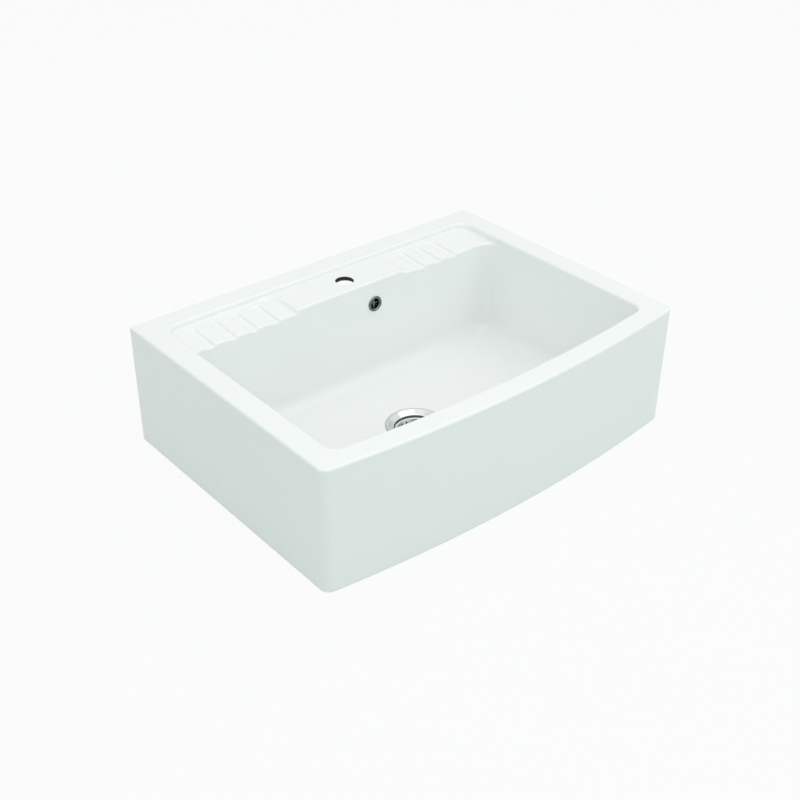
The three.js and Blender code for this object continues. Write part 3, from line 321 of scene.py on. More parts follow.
def outwards(obj, merge=1e-6):
    """Merges doubled points and turns every face outwards."""
    work = bmesh.new()
    work.from_mesh(obj.data)
    bmesh.ops.remove_doubles(work, verts=work.verts, dist=merge)
    bmesh.ops.dissolve_degenerate(work, edges=work.edges, dist=1e-7)
    bmesh.ops.recalc_face_normals(work, faces=work.faces)
    work.to_mesh(obj.data)
    work.free()
    obj.data.update()
    return obj


def settle(obj):
    """Turns the evaluated object into a plain mesh and drops its modifiers."""
    graph = bpy.context.evaluated_depsgraph_get()
    mesh = bpy.data.meshes.new_from_object(
        obj.evaluated_get(graph), preserve_all_data_layers=True, depsgraph=graph
    )
    old = obj.data
    obj.modifiers.clear()
    obj.data = mesh
    mesh.name = obj.name
    if old.users == 0:
        bpy.data.meshes.remove(old)
    return obj


def cut(obj, cutters, operation="DIFFERENCE"):
    """Cuts, joins or keeps the overlap with each cutter, which is then removed."""
    for cutter in cutters:
        step = obj.modifiers.new("cut", "BOOLEAN")
        step.operation = operation
        step.solver = "MANIFOLD"
        step.material_mode = "TRANSFER"
        step.object = cutter
    settle(obj)
    for cutter in cutters:
        bpy.data.objects.remove(cutter)
    return obj


def smooth(obj, degrees=32):
    """Smooth shading that keeps flat faces flat and sharp edges sharp."""
    obj.data.shade_smooth()
    obj.data.set_sharp_from_angle(angle=math.radians(degrees))
    weigh = obj.modifiers.new("weigh", "WEIGHTED_NORMAL")
    weigh.mode = "FACE_AREA"
    weigh.keep_sharp = True
    return settle(obj)


def place(obj, matrix):
    """Moves the mesh itself, so that the object stays at the origin."""
    obj.data.transform(matrix)
    return obj


def arc(cx, cy, radius, start, end, steps):
    """Points on an arc, angles in degrees."""
    turn = np.radians(np.linspace(start, end, steps + 1))
    return np.stack([cx + radius * np.cos(turn), cy + radius * np.sin(turn)], 1)


def level_ring(outline, z):
    """An outline lifted to a height, or to one height for each point."""
    return np.column_stack([outline, np.broadcast_to(z, len(outline))])


def loft(name, rings, material=None):
    """A closed solid through a stack of rings with equal numbers of points."""
    size = len(rings[0])
    verts = np.concatenate(rings)
    faces = [tuple(range(size))[::-1]]
    for k in range(len(rings) - 1):
        for i in range(size):
            j = (i + 1) % size
            faces.append((k * size + i, k * size + j, (k + 1) * size + j, (k + 1) * size + i))
    top = (len(rings) - 1) * size
    faces.append(tuple(range(top, top + size)))
    return outwards(new_object(name, verts, faces, material))


def turned(name, profile, segments=96, closed=False, material=None):
    """A solid turned about Z from [radius, height] points; closed where the profile returns to its start."""
    verts, rows, faces = [], [], []
    for r, z in profile:
        if r < 1e-7:
            rows.append([len(verts)])
            verts.append((0, 0, z))
        else:
            rows.append(list(range(len(verts), len(verts) + segments)))
            turn = np.linspace(0, 2 * math.pi, segments, endpoint=False)
            verts.extend(np.stack([r * np.cos(turn), r * np.sin(turn), np.full(segments, z)], 1))
    for low, high in zip(rows, rows[1:] + (rows[:1] if closed else [])):
        for i in range(segments if len(low) + len(high) > 2 else 0):
            j = (i + 1) % segments
            if len(low) == 1:
                faces.append((low[0], high[j], high[i]))
            elif len(high) == 1:
                faces.append((low[i], low[j], high[0]))
            else:
                faces.append((low[i], low[j], high[j], high[i]))
    return outwards(new_object(name, verts, faces, material))


def rounded(profile, radius, steps=4, closed=False):
    """Rounds each corner of a [radius, height] profile; radius may be one number or one for each point."""
    points = [np.array(p, float) for p in profile]
    radii = radius if hasattr(radius, "__len__") else [radius] * len(points)
    out = []
    for i, p in enumerate(points):
        if not closed and i in (0, len(points) - 1) or radii[i] <= 0:
            out.append(p)
            continue
        a, b = points[i - 1] - p, points[(i + 1) % len(points)] - p
        la, lb = np.linalg.norm(a), np.linalg.norm(b)
        a, b = a / la, b / lb
        half = math.acos(max(-1.0, min(1.0, float(a @ b)))) / 2
        if half > math.radians(86):
            out.append(p)
            continue
        back = min(radii[i] / math.tan(half), 0.45 * la, 0.45 * lb)
        r = back * math.tan(half)
        centre = p + (a + b) / np.linalg.norm(a + b) * (r / math.sin(half))
        start, end = p + a * back - centre, p + b * back - centre
        sweep = math.atan2(start[0] * end[1] - start[1] * end[0], start @ end)
        for t in np.linspace(0, sweep, steps + 1):
            c, s = math.cos(t), math.sin(t)
            out.append(centre + np.array([start[0] * c - start[1] * s, start[0] * s + start[1] * c]))
    return out


def soften(profile, steps, closed=False):
    """Rounds a profile given as (point, radius) pairs."""
    return rounded([p for p, _ in profile], [r for _, r in profile], steps, closed)


def sharp(points):
    """Profile points that aren't rounded."""
    return [(p, 0) for p in points]


def pushed(name, shape, along, low, high, material):
    """A flat shape pushed from low to high along X (0), Y (1) or Z (2)."""
    return loft(name, [np.insert(np.array(shape, float), along, at, axis=1) for at in (low, high)], material)


def block(name, x0, x1, y0, y1, z0, z1, material):
    """A plain box, to cut with or to join on."""
    return pushed(name, [[x0, y0], [x1, y0], [x1, y1], [x0, y1]], 2, z0, z1, material)


def rod(name, radius, low, high, segments, material):
    """A plain round bar along Z, to cut with or to join on."""
    return turned(name, [[0, low], [radius, low], [radius, high], [0, high]], segments, material=material)


# ---------- node helpers ----------
def wire(tree, kind, inputs=None, **settings):
    """Adds a node, sets it up and joins or sets its inputs."""
    node = tree.nodes.new(kind)
    for key, value in settings.items():
        setattr(node, key, value)
    for key, value in (inputs or {}).items():
        socket = node.inputs[key]
        if isinstance(value, bpy.types.NodeSocket):
            tree.links.new(value, socket)
        else:
            socket.default_value = value
    return node


def calc(tree, operation, *values, clamp=False):
    """One sum on numbers or sockets."""
    node = wire(tree, "ShaderNodeMath", dict(enumerate(values)), operation=operation, use_clamp=clamp)
    return node.outputs[0]


def parts(tree, vector):
    """The three parts of a vector."""
    return wire(tree, "ShaderNodeSeparateXYZ", {0: vector}).outputs


def geometry_tree(name, inputs):
    """An empty geometry tree with named inputs: (name, socket type, default)."""
    tree = bpy.data.node_groups.new(name, "GeometryNodeTree")
    tree.interface.new_socket("Geometry", in_out="INPUT", socket_type="NodeSocketGeometry")
    tree.interface.new_socket("Geometry", in_out="OUTPUT", socket_type="NodeSocketGeometry")
    for label, kind, default in inputs:
        socket = tree.interface.new_socket(label, in_out="INPUT", socket_type=kind)
        if default is not None:
            socket.default_value = default
    return tree, tree.nodes.new("NodeGroupInput"), tree.nodes.new("NodeGroupOutput")


def run_tree(obj, tree, **values):
    """Runs a geometry tree on an object with its inputs set by identifier, and keeps the plain mesh."""
    step = obj.modifiers.new(tree.name, "NODES")
    step.node_group = tree
    names = {s.name: s.identifier for s in tree.interface.items_tree if s.in_out == "INPUT"}
    for label, value in values.items():
        step[names[label.replace("_", " ")]] = value
    return settle(obj)


def finish_tree(tree, given, result, out):
    """Realises instances, gives the finish and joins the output."""
    real = wire(tree, "GeometryNodeRealizeInstances", {"Geometry": result})
    done = wire(tree, "GeometryNodeSetMaterial", {
        "Geometry": real.outputs[0], "Material": given.outputs["Finish"],
    })
    tree.links.new(done.outputs[0], out.inputs[0])


def row_tree():
    """Copies in one row along the X axis."""
    tree, given, out = geometry_tree("Row", [
        ("Count", "NodeSocketInt", 4), ("First", "NodeSocketFloat", 0.1), ("Pitch", "NodeSocketFloat", 0.05),
        ("Finish", "NodeSocketMaterial", None),
    ])
    start = wire(tree, "ShaderNodeCombineXYZ", {"X": given.outputs["First"]})
    step = wire(tree, "ShaderNodeCombineXYZ", {"X": given.outputs["Pitch"]})
    line = wire(tree, "GeometryNodeMeshLine", {
        "Count": given.outputs["Count"], "Start Location": start.outputs[0], "Offset": step.outputs[0],
    })
    copies = wire(tree, "GeometryNodeInstanceOnPoints", {
        "Points": line.outputs[0], "Instance": given.outputs["Geometry"],
    })
    finish_tree(tree, given, copies.outputs[0], out)
    return tree


def wheel_tree():
    """Copies turned evenly round the Z axis."""
    tree, given, out = geometry_tree("Wheel", [
        ("Count", "NodeSocketInt", 4), ("Turn", "NodeSocketFloat", 0.0),
        ("Finish", "NodeSocketMaterial", None),
    ])
    points = wire(tree, "GeometryNodePoints", {"Count": given.outputs["Count"]})
    index = tree.nodes.new("GeometryNodeInputIndex")
    share = calc(tree, "DIVIDE", index.outputs[0], given.outputs["Count"])
    turn = calc(tree, "MULTIPLY_ADD", share, 2 * math.pi, given.outputs["Turn"])
    angles = wire(tree, "ShaderNodeCombineXYZ", {"Z": turn})
    copies = wire(tree, "GeometryNodeInstanceOnPoints", {
        "Points": points.outputs[0], "Instance": given.outputs["Geometry"], "Rotation": angles.outputs[0],
    })
    finish_tree(tree, given, copies.outputs[0], out)
    return tree


def thread_tree():
    """Cuts a screw thread into the points of a rod round the Z axis."""
    tree, given, out = geometry_tree("Thread", [
        ("Radius", "NodeSocketFloat", 0.02), ("Depth", "NodeSocketFloat", 0.001),
        ("Pitch", "NodeSocketFloat", 0.002), ("Low", "NodeSocketFloat", 0.0),
        ("High", "NodeSocketFloat", 0.01), ("Finish", "NodeSocketMaterial", None),
    ])
    get = given.outputs
    spot = parts(tree, tree.nodes.new("GeometryNodeInputPosition").outputs[0])
    squares = calc(tree, "MULTIPLY_ADD", spot[0], spot[0], calc(tree, "MULTIPLY", spot[1], spot[1]))
    away = calc(tree, "SQRT", squares)
    turn = calc(tree, "DIVIDE", calc(tree, "ARCTAN2", spot[1], spot[0]), 2 * math.pi)
    turns_up = calc(tree, "DIVIDE", spot[2], get["Pitch"])
    wave = calc(tree, "PINGPONG", calc(tree, "SUBTRACT", turns_up, turn), 0.5)
    soft = wire(tree, "ShaderNodeMapRange", {0: wave, 1: 0.1, 2: 0.4, 3: 0.0, 4: 1.0},
                interpolation_type="SMOOTHSTEP").outputs[0]
    above = calc(tree, "DIVIDE", calc(tree, "SUBTRACT", spot[2], get["Low"]), get["Pitch"])
    below = calc(tree, "DIVIDE", calc(tree, "SUBTRACT", get["High"], spot[2]), get["Pitch"])
    fade = calc(tree, "MULTIPLY", calc(tree, "MINIMUM", above, below), 1.0, clamp=True)
    outside = calc(tree, "GREATER_THAN", away, calc(tree, "SUBTRACT", get["Radius"], 0.0003))
    size = calc(tree, "MULTIPLY", calc(tree, "MULTIPLY", soft, fade),
                calc(tree, "MULTIPLY", outside, get["Depth"]))
    share = calc(tree, "DIVIDE", calc(tree, "MULTIPLY", size, -1.0), calc(tree, "MAXIMUM", away, 1e-4))
    move = wire(tree, "ShaderNodeCombineXYZ", {
        "X": calc(tree, "MULTIPLY", spot[0], share), "Y": calc(tree, "MULTIPLY", spot[1], share),
    }).outputs[0]
    moved = wire(tree, "GeometryNodeSetPosition", {"Geometry": get["Geometry"], "Offset": move})
    finish_tree(tree, given, moved.outputs[0], out)
    return tree


def hose_tree():
    """Sweeps a ribbed wall along a path: collar, cuff and ribs outside, and a plain bore inside."""
    numbers = ("Collar", "Collar Thickness", "Cuff", "Cuff Length", "Rib", "Valley", "Pitch", "Bore")
    tree, given, out = geometry_tree("Ribbed hose", [
        ("Rows", "NodeSocketInt", 500), ("Sides", "NodeSocketInt", 49),
        *((name, "NodeSocketFloat", 0.01) for name in numbers), ("Finish", "NodeSocketMaterial", None),
    ])
    get = given.outputs
    bored_from, bored_to = 0.9001, 0.998  # rows that turn inside for the bore, as shares of all rows
    path = wire(tree, "GeometryNodeMeshToCurve", {"Mesh": get["Geometry"]}).outputs[0]
    whole = wire(tree, "GeometryNodeCurveLength", {"Curve": path}).outputs[0]
    grid = wire(tree, "GeometryNodeMeshGrid", {
        "Size X": 1.0, "Size Y": 1.0, "Vertices X": get["Rows"], "Vertices Y": get["Sides"],
    }).outputs[0]
    spot = parts(tree, tree.nodes.new("GeometryNodeInputPosition").outputs[0])
    along, around = calc(tree, "ADD", spot[0], 0.5), calc(tree, "ADD", spot[1], 0.5)
    last = calc(tree, "GREATER_THAN", along, 0.9999)
    open_row = calc(tree, "SUBTRACT", 1.0, last)
    bored = calc(tree, "MULTIPLY", calc(tree, "GREATER_THAN", along, bored_from), open_row)
    forth = calc(tree, "MULTIPLY", calc(tree, "DIVIDE", along, 0.9, clamp=True), open_row)
    back = wire(tree, "ShaderNodeMapRange", {0: along, 1: 0.9, 2: bored_to, 3: 1.0, 4: 0.0}).outputs[0]
    share = calc(tree, "ADD", calc(tree, "MULTIPLY", bored, back),
                 calc(tree, "MULTIPLY", calc(tree, "SUBTRACT", 1.0, bored), forth))
    distance = calc(tree, "MULTIPLY", share, whole)
    plain = calc(tree, "ADD", get["Collar Thickness"], get["Cuff Length"])
    span = calc(tree, "SUBTRACT", whole, calc(tree, "MULTIPLY", plain, 2.0))
    ribs = calc(tree, "FLOOR", calc(tree, "DIVIDE", span, get["Pitch"]))
    ribbed_span = calc(tree, "MULTIPLY", ribs, get["Pitch"])
    first = calc(tree, "MULTIPLY", calc(tree, "SUBTRACT", whole, ribbed_span), 0.5)
    end = calc(tree, "MINIMUM", distance, calc(tree, "SUBTRACT", whole, distance))
    phase = calc(tree, "FRACT", calc(tree, "DIVIDE", calc(tree, "SUBTRACT", distance, first), get["Pitch"]))
    section = wire(tree, "ShaderNodeFloatCurve", {"Value": phase})
    line = section.mapping.curves[0]
    line.points[0].location, line.points[1].location = (0, 0), (1, 0)
    for x, y in ((0.12, 0.06), (0.3, 0.88), (0.42, 1.0), (0.58, 1.0), (0.7, 0.88), (0.88, 0.06)):
        line.points.new(x, y)
    section.mapping.update()
    rib_height = calc(tree, "SUBTRACT", get["Rib"], get["Valley"])
    ribbed = calc(tree, "MULTIPLY_ADD", section.outputs[0], rib_height, get["Valley"])
    at_collar = calc(tree, "LESS_THAN", end, get["Collar Thickness"])
    at_ribs = calc(tree, "GREATER_THAN", end, first)
    radius = get["Cuff"]
    for flag, value in ((at_collar, get["Collar"]), (at_ribs, ribbed), (bored, get["Bore"])):
        radius = wire(tree, "ShaderNodeMix", {0: flag, 2: radius, 3: value}, data_type="FLOAT").outputs[0]
    sample = wire(tree, "GeometryNodeSampleCurve", {"Curves": path, "Length": distance}, mode="LENGTH")
    across = wire(tree, "ShaderNodeVectorMath", {0: sample.outputs["Tangent"], 1: sample.outputs["Normal"]},
                  operation="CROSS_PRODUCT").outputs[0]
    angle = calc(tree, "MULTIPLY", around, 2 * math.pi)
    spot_out = sample.outputs["Position"]
    for direction, wave in ((sample.outputs["Normal"], "COSINE"), (across, "SINE")):
        reach = calc(tree, "MULTIPLY", radius, calc(tree, wave, angle))
        step = wire(tree, "ShaderNodeVectorMath", {0: direction, "Scale": reach}, operation="SCALE")
        moved = wire(tree, "ShaderNodeVectorMath", {0: spot_out, 1: step.outputs[0]}, operation="ADD")
        spot_out = moved.outputs[0]
    swept = wire(tree, "GeometryNodeSetPosition", {"Geometry": grid, "Position": spot_out}).outputs[0]
    sewn = wire(tree, "GeometryNodeMergeByDistance", {"Geometry": swept, "Distance": 2e-6}).outputs[0]
    finish_tree(tree, given, sewn, out)
    return tree


# ---------- finishes ----------
def material(name):
    """An empty material with its output; returns it, its tree and its Object coordinates."""
    made = bpy.data.materials.new(name)
    made.use_nodes = True
    tree = made.node_tree
    tree.nodes.clear()
    place_at = tree.nodes.new("ShaderNodeTexCoord").outputs["Object"]
    return made, tree, place_at


def show(tree, shader, kind="ShaderNodeOutputMaterial"):
    """Joins a shader to the tree's output."""
    tree.links.new(shader.outputs[0], tree.nodes.new(kind).inputs[0])


def surface(tree, **settings):
    """The principled surface and its output."""
    show(tree, wire(tree, "ShaderNodeBsdfPrincipled", settings))


def noise(tree, place_at, scale, detail=3.0, rough=0.5):
    """A noise value at a scale in waves for each metre."""
    return wire(tree, "ShaderNodeTexNoise", {
        "Vector": place_at, "Scale": scale, "Detail": detail, "Roughness": rough,
    }).outputs[0]


def between(tree, value, low, high, start=0.3, end=0.7):
    """Maps a value from start..end to low..high."""
    return wire(tree, "ShaderNodeMapRange", {0: value, 1: start, 2: end, 3: low, 4: high}).outputs[0]


def tint(tree, value, first, second):
    """A colour between two, by a value."""
    ends = {0: value, 6: (*first, 1), 7: (*second, 1)}
    return wire(tree, "ShaderNodeMix", ends, data_type="RGBA").outputs[2]


def bump(tree, height, strength, distance, under=None):
    """A bump from a height."""
    inputs = {"Height": height, "Strength": strength, "Distance": distance}
    if under is not None:
        inputs["Normal"] = under
    return wire(tree, "ShaderNodeBump", inputs).outputs[0]


def scaled(values, factor):
    """A colour made lighter or darker."""
    return tuple(min(1.0, v * factor) for v in values)


def lifted(values, more):
    """A dark colour raised towards grey."""
    return tuple(v + more for v in values)


def glaze_finish(tones):
    """Thick white glaze: a soft drift of tone, a faint orange peel, and bare clay under the foot."""
    made, tree, at = material("glaze")
    drift = between(tree, noise(tree, at, 5.0, 2.0), 0.0, 1.0)
    body = tint(tree, drift, scaled(tones.glaze, 0.985), scaled(tones.glaze, 1.0))
    ragged = calc(tree, "MULTIPLY_ADD", noise(tree, at, 160.0, 4.0), -0.0016, parts(tree, at)[2])
    foot = between(tree, ragged, 1.0, 0.0, -0.0006, 0.0003)
    toned = wire(tree, "ShaderNodeMix", {0: foot, 6: body, 7: (*tones.clay, 1)}, data_type="RGBA").outputs[2]
    mottled = between(tree, noise(tree, at, 28.0, 4.0), 0.07, 0.13)
    gloss = calc(tree, "ADD", mottled, between(tree, foot, 0.0, 0.6, 0, 1))
    peel = bump(tree, noise(tree, at, 75.0, 2.0), 0.06, 0.0006)
    wave = bump(tree, noise(tree, at, 9.0, 1.0), 0.05, 0.004, peel)
    surface(tree, **{
        "Base Color": toned, "Roughness": gloss, "IOR": 1.5, "Normal": wave,
        "Coat Weight": 0.35, "Coat Roughness": 0.03,
    })
    return made


def painted_shade_bore_finish(tones):
    """Near-black painted shade on the wall inside the tap hole, with a coarse grain."""
    made, tree, at = material("bore")
    grain = noise(tree, at, 700.0, 4.0, 0.6)
    surface(tree, **{
        "Base Color": tint(tree, between(tree, grain, 0, 1), tones.bore, lifted(tones.bore, 0.02)),
        "Roughness": 0.8, "Normal": bump(tree, grain, 0.3, 0.0003),
    })
    return made


def thin_glaze_finish(tones):
    """The hollow behind the skirt: thin, patchy glaze over pale clay."""
    made, tree, at = material("thin_glaze")
    pale_clay = (0.70, 0.70, 0.66)
    patch = between(tree, noise(tree, at, 14.0, 6.0, 0.65), 0.0, 1.0, 0.42, 0.62)
    toned = tint(tree, patch, pale_clay, scaled(tones.glaze, 0.95))
    grain = noise(tree, at, 420.0, 3.0)
    surface(tree, **{
        "Base Color": toned, "Roughness": between(tree, patch, 0.55, 0.3, 0, 1),
        "Normal": bump(tree, grain, 0.25, 0.0004, bump(tree, noise(tree, at, 30.0, 3.0), 0.2, 0.001)),
    })
    return made


def polished_finish(name, tone, low, high, centre=(0, 0, 0), ring=0.0, metal=1.0):
    """Bright metal with fine wipe marks, turned about a centre where ring is above 0."""
    made, tree, at = material(name)
    moved = wire(tree, "ShaderNodeMapping", {"Vector": at, "Location": tuple(-c for c in centre)}).outputs[0]
    smear = noise(tree, moved, 60.0, 5.0, 0.6)
    normal = bump(tree, noise(tree, moved, 900.0, 2.0), 0.03, 0.0001)
    if ring > 0:
        flat = wire(tree, "ShaderNodeVectorMath", {0: moved, 1: (1, 1, 0)}, operation="MULTIPLY").outputs[0]
        away = wire(tree, "ShaderNodeVectorMath", {0: flat}, operation="LENGTH").outputs["Value"]
        grain = {"W": away, "Scale": 5200.0, "Detail": 2.0}
        lines = wire(tree, "ShaderNodeTexNoise", grain, noise_dimensions="1D")
        normal = bump(tree, lines.outputs[0], ring, 0.00006, normal)
    surface(tree, **{
        "Base Color": tint(tree, between(tree, smear, 0, 1), scaled(tone, 0.94), tone),
        "Metallic": metal, "Roughness": between(tree, smear, low, high), "Normal": normal,
    })
    return made


def rubber_finish(name, tone):
    """Moulded rubber with a dull bloom."""
    made, tree, at = material(name)
    bloom = between(tree, noise(tree, at, 45.0, 5.0, 0.6), 0, 1, 0.45, 0.75)
    surface(tree, **{
        "Base Color": tint(tree, bloom, tone, lifted(tone, 0.025)),
        "Roughness": between(tree, bloom, 0.55, 0.78, 0, 1),
        "Normal": bump(tree, noise(tree, at, 1500.0, 2.0), 0.15, 0.0001),
    })
    return made


def plastic_finish(name, tone):
    """Moulded plastic: a fine spark grain and a slight drift of tone."""
    made, tree, at = material(name)
    drift = between(tree, noise(tree, at, 22.0, 3.0), 0, 1)
    grain = bump(tree, noise(tree, at, 1300.0, 3.0, 0.6), 0.12, 0.00012)
    surface(tree, **{
        "Base Color": tint(tree, drift, scaled(tone, 0.95), tone),
        "Roughness": between(tree, drift, 0.34, 0.46, 0, 1),
        "Normal": bump(tree, noise(tree, at, 40.0, 2.0), 0.08, 0.0008, grain),
        "Subsurface Weight": 0.06, "Subsurface Radius": (0.004, 0.004, 0.004),
    })
    return made


def finish_of(name):
    """The named finish, made on first use."""
    found = bpy.data.materials.get(name)
    if found:
        return found
    tones = bpy.context.scene.sink_finishes
    waste_y = sizes().back_y - sizes().waste_from_back
    makers = {
        "glaze": lambda: glaze_finish(tones),
        "thin_glaze": lambda: thin_glaze_finish(tones),
        "bore": lambda: painted_shade_bore_finish(tones),
        # painted shade: darker steel for the inside of the cup
        "deep_steel": lambda: polished_finish("deep_steel", tones.deep, 0.25, 0.35, (0, waste_y, 0), 0.12),
        "chrome": lambda: polished_finish("chrome", tones.chrome, 0.05, 0.1),
        # painted reflection: chrome darkened for the overflow ring and its screw
        "ring_chrome": lambda: polished_finish("ring_chrome", tones.ring, 0.12, 0.2),
        "steel": lambda: polished_finish("steel", tones.steel, 0.28, 0.4, (0, waste_y, 0), 0.12, 0.65),
        "brass": lambda: polished_finish("brass", tones.brass, 0.24, 0.36),
        "black_rubber": lambda: rubber_finish("black_rubber", tones.black_rubber),
        "grey_rubber": lambda: rubber_finish("grey_rubber", tones.grey_rubber),
        "white_plastic": lambda: plastic_finish("white_plastic", tones.white_plastic),
        "grey_plastic": lambda: plastic_finish("grey_plastic", tones.grey_plastic),
    }
    return makers[name]()


def own(obj, slot, *nodes, body="sink"):
    """Gives a new piece its body and hides the solids it stands for."""
    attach(obj, body)
    if nodes:
        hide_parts(*nodes)
    return obj


# ---------- basin geometry ----------
class Sizes:
    """All sizes with everything worked out from them."""

    def __init__(self, *groups):
        for group in groups:
            for key in group.__annotations__:
                setattr(self, key, getattr(group, key))
        self.half = self.width / 2
        self.back_y = (self.side_depth + self.bow) / 2
        self.corner_y = self.back_y - self.side_depth
        self.bow_radius = (self.half**2 + self.bow**2) / (2 * self.bow)
        self.bow_centre = self.corner_y - self.bow + self.bow_radius
        self.step_y = self.back_y - self.rim
        self.lip_y = self.step_y - self.ledge
        self.floor_z = self.floor_rise - self.floor_fall
        self.waste_y = self.back_y - self.waste_from_back
        self.ledge_under_z = self.height - self.ledge_depth
        self.ledge_front_y = self.lip_y - self.bowl_back
        self.platform_z = self.height - self.platform_drop
        self.platform_under_z = self.platform_z - self.wall
        self.slope = (self.drainer_lip - self.drainer_back) / self.ledge
        self.overflow_z = self.height - self.overflow_drop
        self.derive_waste()
        self.derive_basket()
        self.derive_overflow()

    def derive_waste(self):
        """Heights of the waste, from the seat down."""
        fit = self.fit
        self.flange_under_z = self.floor_z - self.seat_depth + self.cup_gasket + 2 * fit
        self.flange_top_z = self.flange_under_z + self.flange_crown
        self.crown_radius = self.flange_radius - self.flange_land
        self.cone_foot_z = self.flange_top_z - self.throat_depth
        self.basket_ledge_z = self.flange_top_z - self.ledge_in_cup
        self.cup_floor_z = self.flange_top_z - self.cup_depth
        self.body_top_z = self.floor_z - self.wall - self.body_gasket - 2 * fit
        self.chamber_foot_z = self.body_top_z - self.chamber_depth
        self.cone_end_z = self.chamber_foot_z - self.cone_depth
        self.outlet_end_z = self.cone_end_z - self.outlet_length
        self.inlet_z = self.body_top_z - self.inlet_drop
        self.pin_foot_z = self.cup_floor_z - self.pin_length
        self.pin_top_z = self.cup_floor_z + fit + self.pin_collar_height + self.pin_stem_height
        self.boss_top_z = self.cup_floor_z - self.sheet - fit
        self.pin_hole = self.pin + fit
        self.inlet_turn = math.atan2(self.overflow_offset, self.lip_y + self.wall - self.waste_y)

    def derive_basket(self):
        """Heights and radii of the basket, seated in the cup."""
        fit = self.fit
        self.lip_z = self.basket_ledge_z + fit
        self.basket_lip = self.throat - 2 * fit
        self.basket_outside = self.basket_lip - self.lip_width + 0.0001
        self.trough_z = self.lip_z + self.basket_sheet - self.basket_depth
        self.trough_outer = self.basket_outside - self.basket_sheet - self.basket_taper - 0.002
        self.trough_inner = self.trough_outer - self.trough
        self.crown_z = self.trough_z + self.basket_crown
        self.stem_hole = self.stem + fit
        self.seal_top_z = self.trough_z - self.basket_sheet - fit
        self.retainer_top_z = self.seal_top_z - self.seal_thickness - fit
        self.stem_foot_z = self.retainer_top_z - self.retainer_thickness

    def derive_overflow(self):
        """Depths of the overflow, from the face of the wall back."""
        fit = self.fit
        self.hub_top = -self.grille_depth
        self.gasket_top = -self.wall - fit
        self.elbow_top = self.gasket_top - self.overflow_gasket - fit
        self.elbow_end = self.elbow_top - self.elbow_flange_thickness - self.elbow_length
        self.elbow_axis = self.elbow_end + self.elbow_wall + self.spigot_bore + 0.001
        self.elbow_bore = self.elbow - self.elbow_wall
        self.elbow_boss_top = self.elbow_top - 2 * fit
        self.screw_hole = self.screw + fit
        self.overflow_insert = self.screw + fit + self.insert_wall
        self.collar_start = 2 * fit + self.hose_seal
        self.nut_end = self.collar_start + self.collar_thickness + fit + self.nut_lip

    def lean(self, z):
        """How far a bowl wall stands in from the rim's edge at a height."""
        return (self.height - z) * math.tan(self.wall_lean)

    def drainer_z(self, y):
        """Height of the drainer floor."""
        return self.height - self.drainer_back - (self.step_y - y) * self.slope

    def groove_dip(self, away, y):
        """Depth of a groove at a distance from its middle line."""
        reach = np.clip((y - self.lip_y) / self.groove_length, 0, 1)
        depth = self.groove_lip_depth + (self.groove_back_depth - self.groove_lip_depth) * reach
        share = np.clip((away - self.groove_half) / self.groove_wall + 1, 0, 1)
        crease = 0.94  # below 1, a groove ends in a faint edge
        return depth * (np.cos(math.pi * share) + crease) / (1 + crease)

    def groove_left(self, away):
        """Where a distance right of a groove's middle lies on its wider left side."""
        floor = self.groove_half - self.groove_wall
        flat = floor * 0.3  # the flat floor is narrower on this side
        return np.interp(away, [0, floor, self.groove_half], [0, flat, flat + self.groove_flank])

    def lip_profile(self, side):
        """The ledge's cross-section along the lip on one side: distance from the middle, and height."""
        y = self.lip_y + self.lip_radius
        low = self.drainer_z(y)
        ramp_points, groove_points = 15, 41
        share = np.linspace(0, 1, ramp_points)
        ramp = self.platform_ramp * (self.right_ramp if side > 0 else 1)
        xs = list(self.platform / 2 + ramp * (2 * share - 1))
        zs = list(self.platform_z + (low - self.platform_z) * (1 - np.cos(math.pi * share)) / 2)
        end = self.half - self.rim - self.bowl_back - 0.0005
        grooves, first, pitch = self.left_grooves, self.left_first, self.left_pitch
        if side > 0:
            grooves, first, pitch = self.right_grooves, self.right_first, self.right_pitch
        for middle in (first + k * pitch for k in range(grooves)):
            for away in np.linspace(-self.groove_half, self.groove_half, groove_points):
                x = middle + (away if away * side > 0 else math.copysign(self.groove_left(abs(away)), away))
                if x < end:
                    xs.append(x)
                    zs.append(low - max(0.0, float(self.groove_dip(abs(away), y))))
        return np.array(xs), np.array(zs)

    def plan(self, inset, back, back_radius, front_radius, extra=(), steps=10, back_steps=None, front=None):
        """Outline with straight back and sides and a bowed front."""
        side, bow = self.half - inset, self.bow_radius - (inset if front is None else front)
        cx = side - front_radius
        cy = self.bow_centre - math.sqrt((bow - front_radius) ** 2 - cx**2)
        turn = math.degrees(math.atan2(cx, self.bow_centre - cy))
        back_steps = back_steps or steps
        runs = [arc(side - back_radius, back - back_radius, back_radius, 0, 90, back_steps)]
        if len(extra):
            runs.append(np.array([[x, back] for x in extra]))
        runs += [
            arc(back_radius - side, back - back_radius, back_radius, 90, 180, back_steps),
            arc(-cx, cy, front_radius, 180, 270 - turn, steps),
            arc(0, self.bow_centre, bow, 270 - turn, 270 + turn, 56)[1:-1],
            arc(cx, cy, front_radius, 270 + turn, 360, steps),
        ]
        return np.concatenate(runs)

    def outer_plan(self, inset):
        """The basin's outside, drawn in by an inset."""
        least = 0.001
        return self.plan(
            inset, self.back_y - inset, max(self.back_corner - inset, least),
            max(self.front_corner - inset, least), back_steps=5,
        )

    def bowl_plan(self, inset):
        """The bowl's outline, grown past the rim's inner edge by a negative inset."""
        right, left = self.lip_profile(1)[0], self.lip_profile(-1)[0]
        return self.plan(
            self.rim + inset, self.lip_y - inset, max(self.bowl_back - inset, 0.02),
            max(self.bowl_front - inset, 0.014), extra=[*right[::-1], *-left], back_steps=20,
            front=self.front_rim + inset,
        )

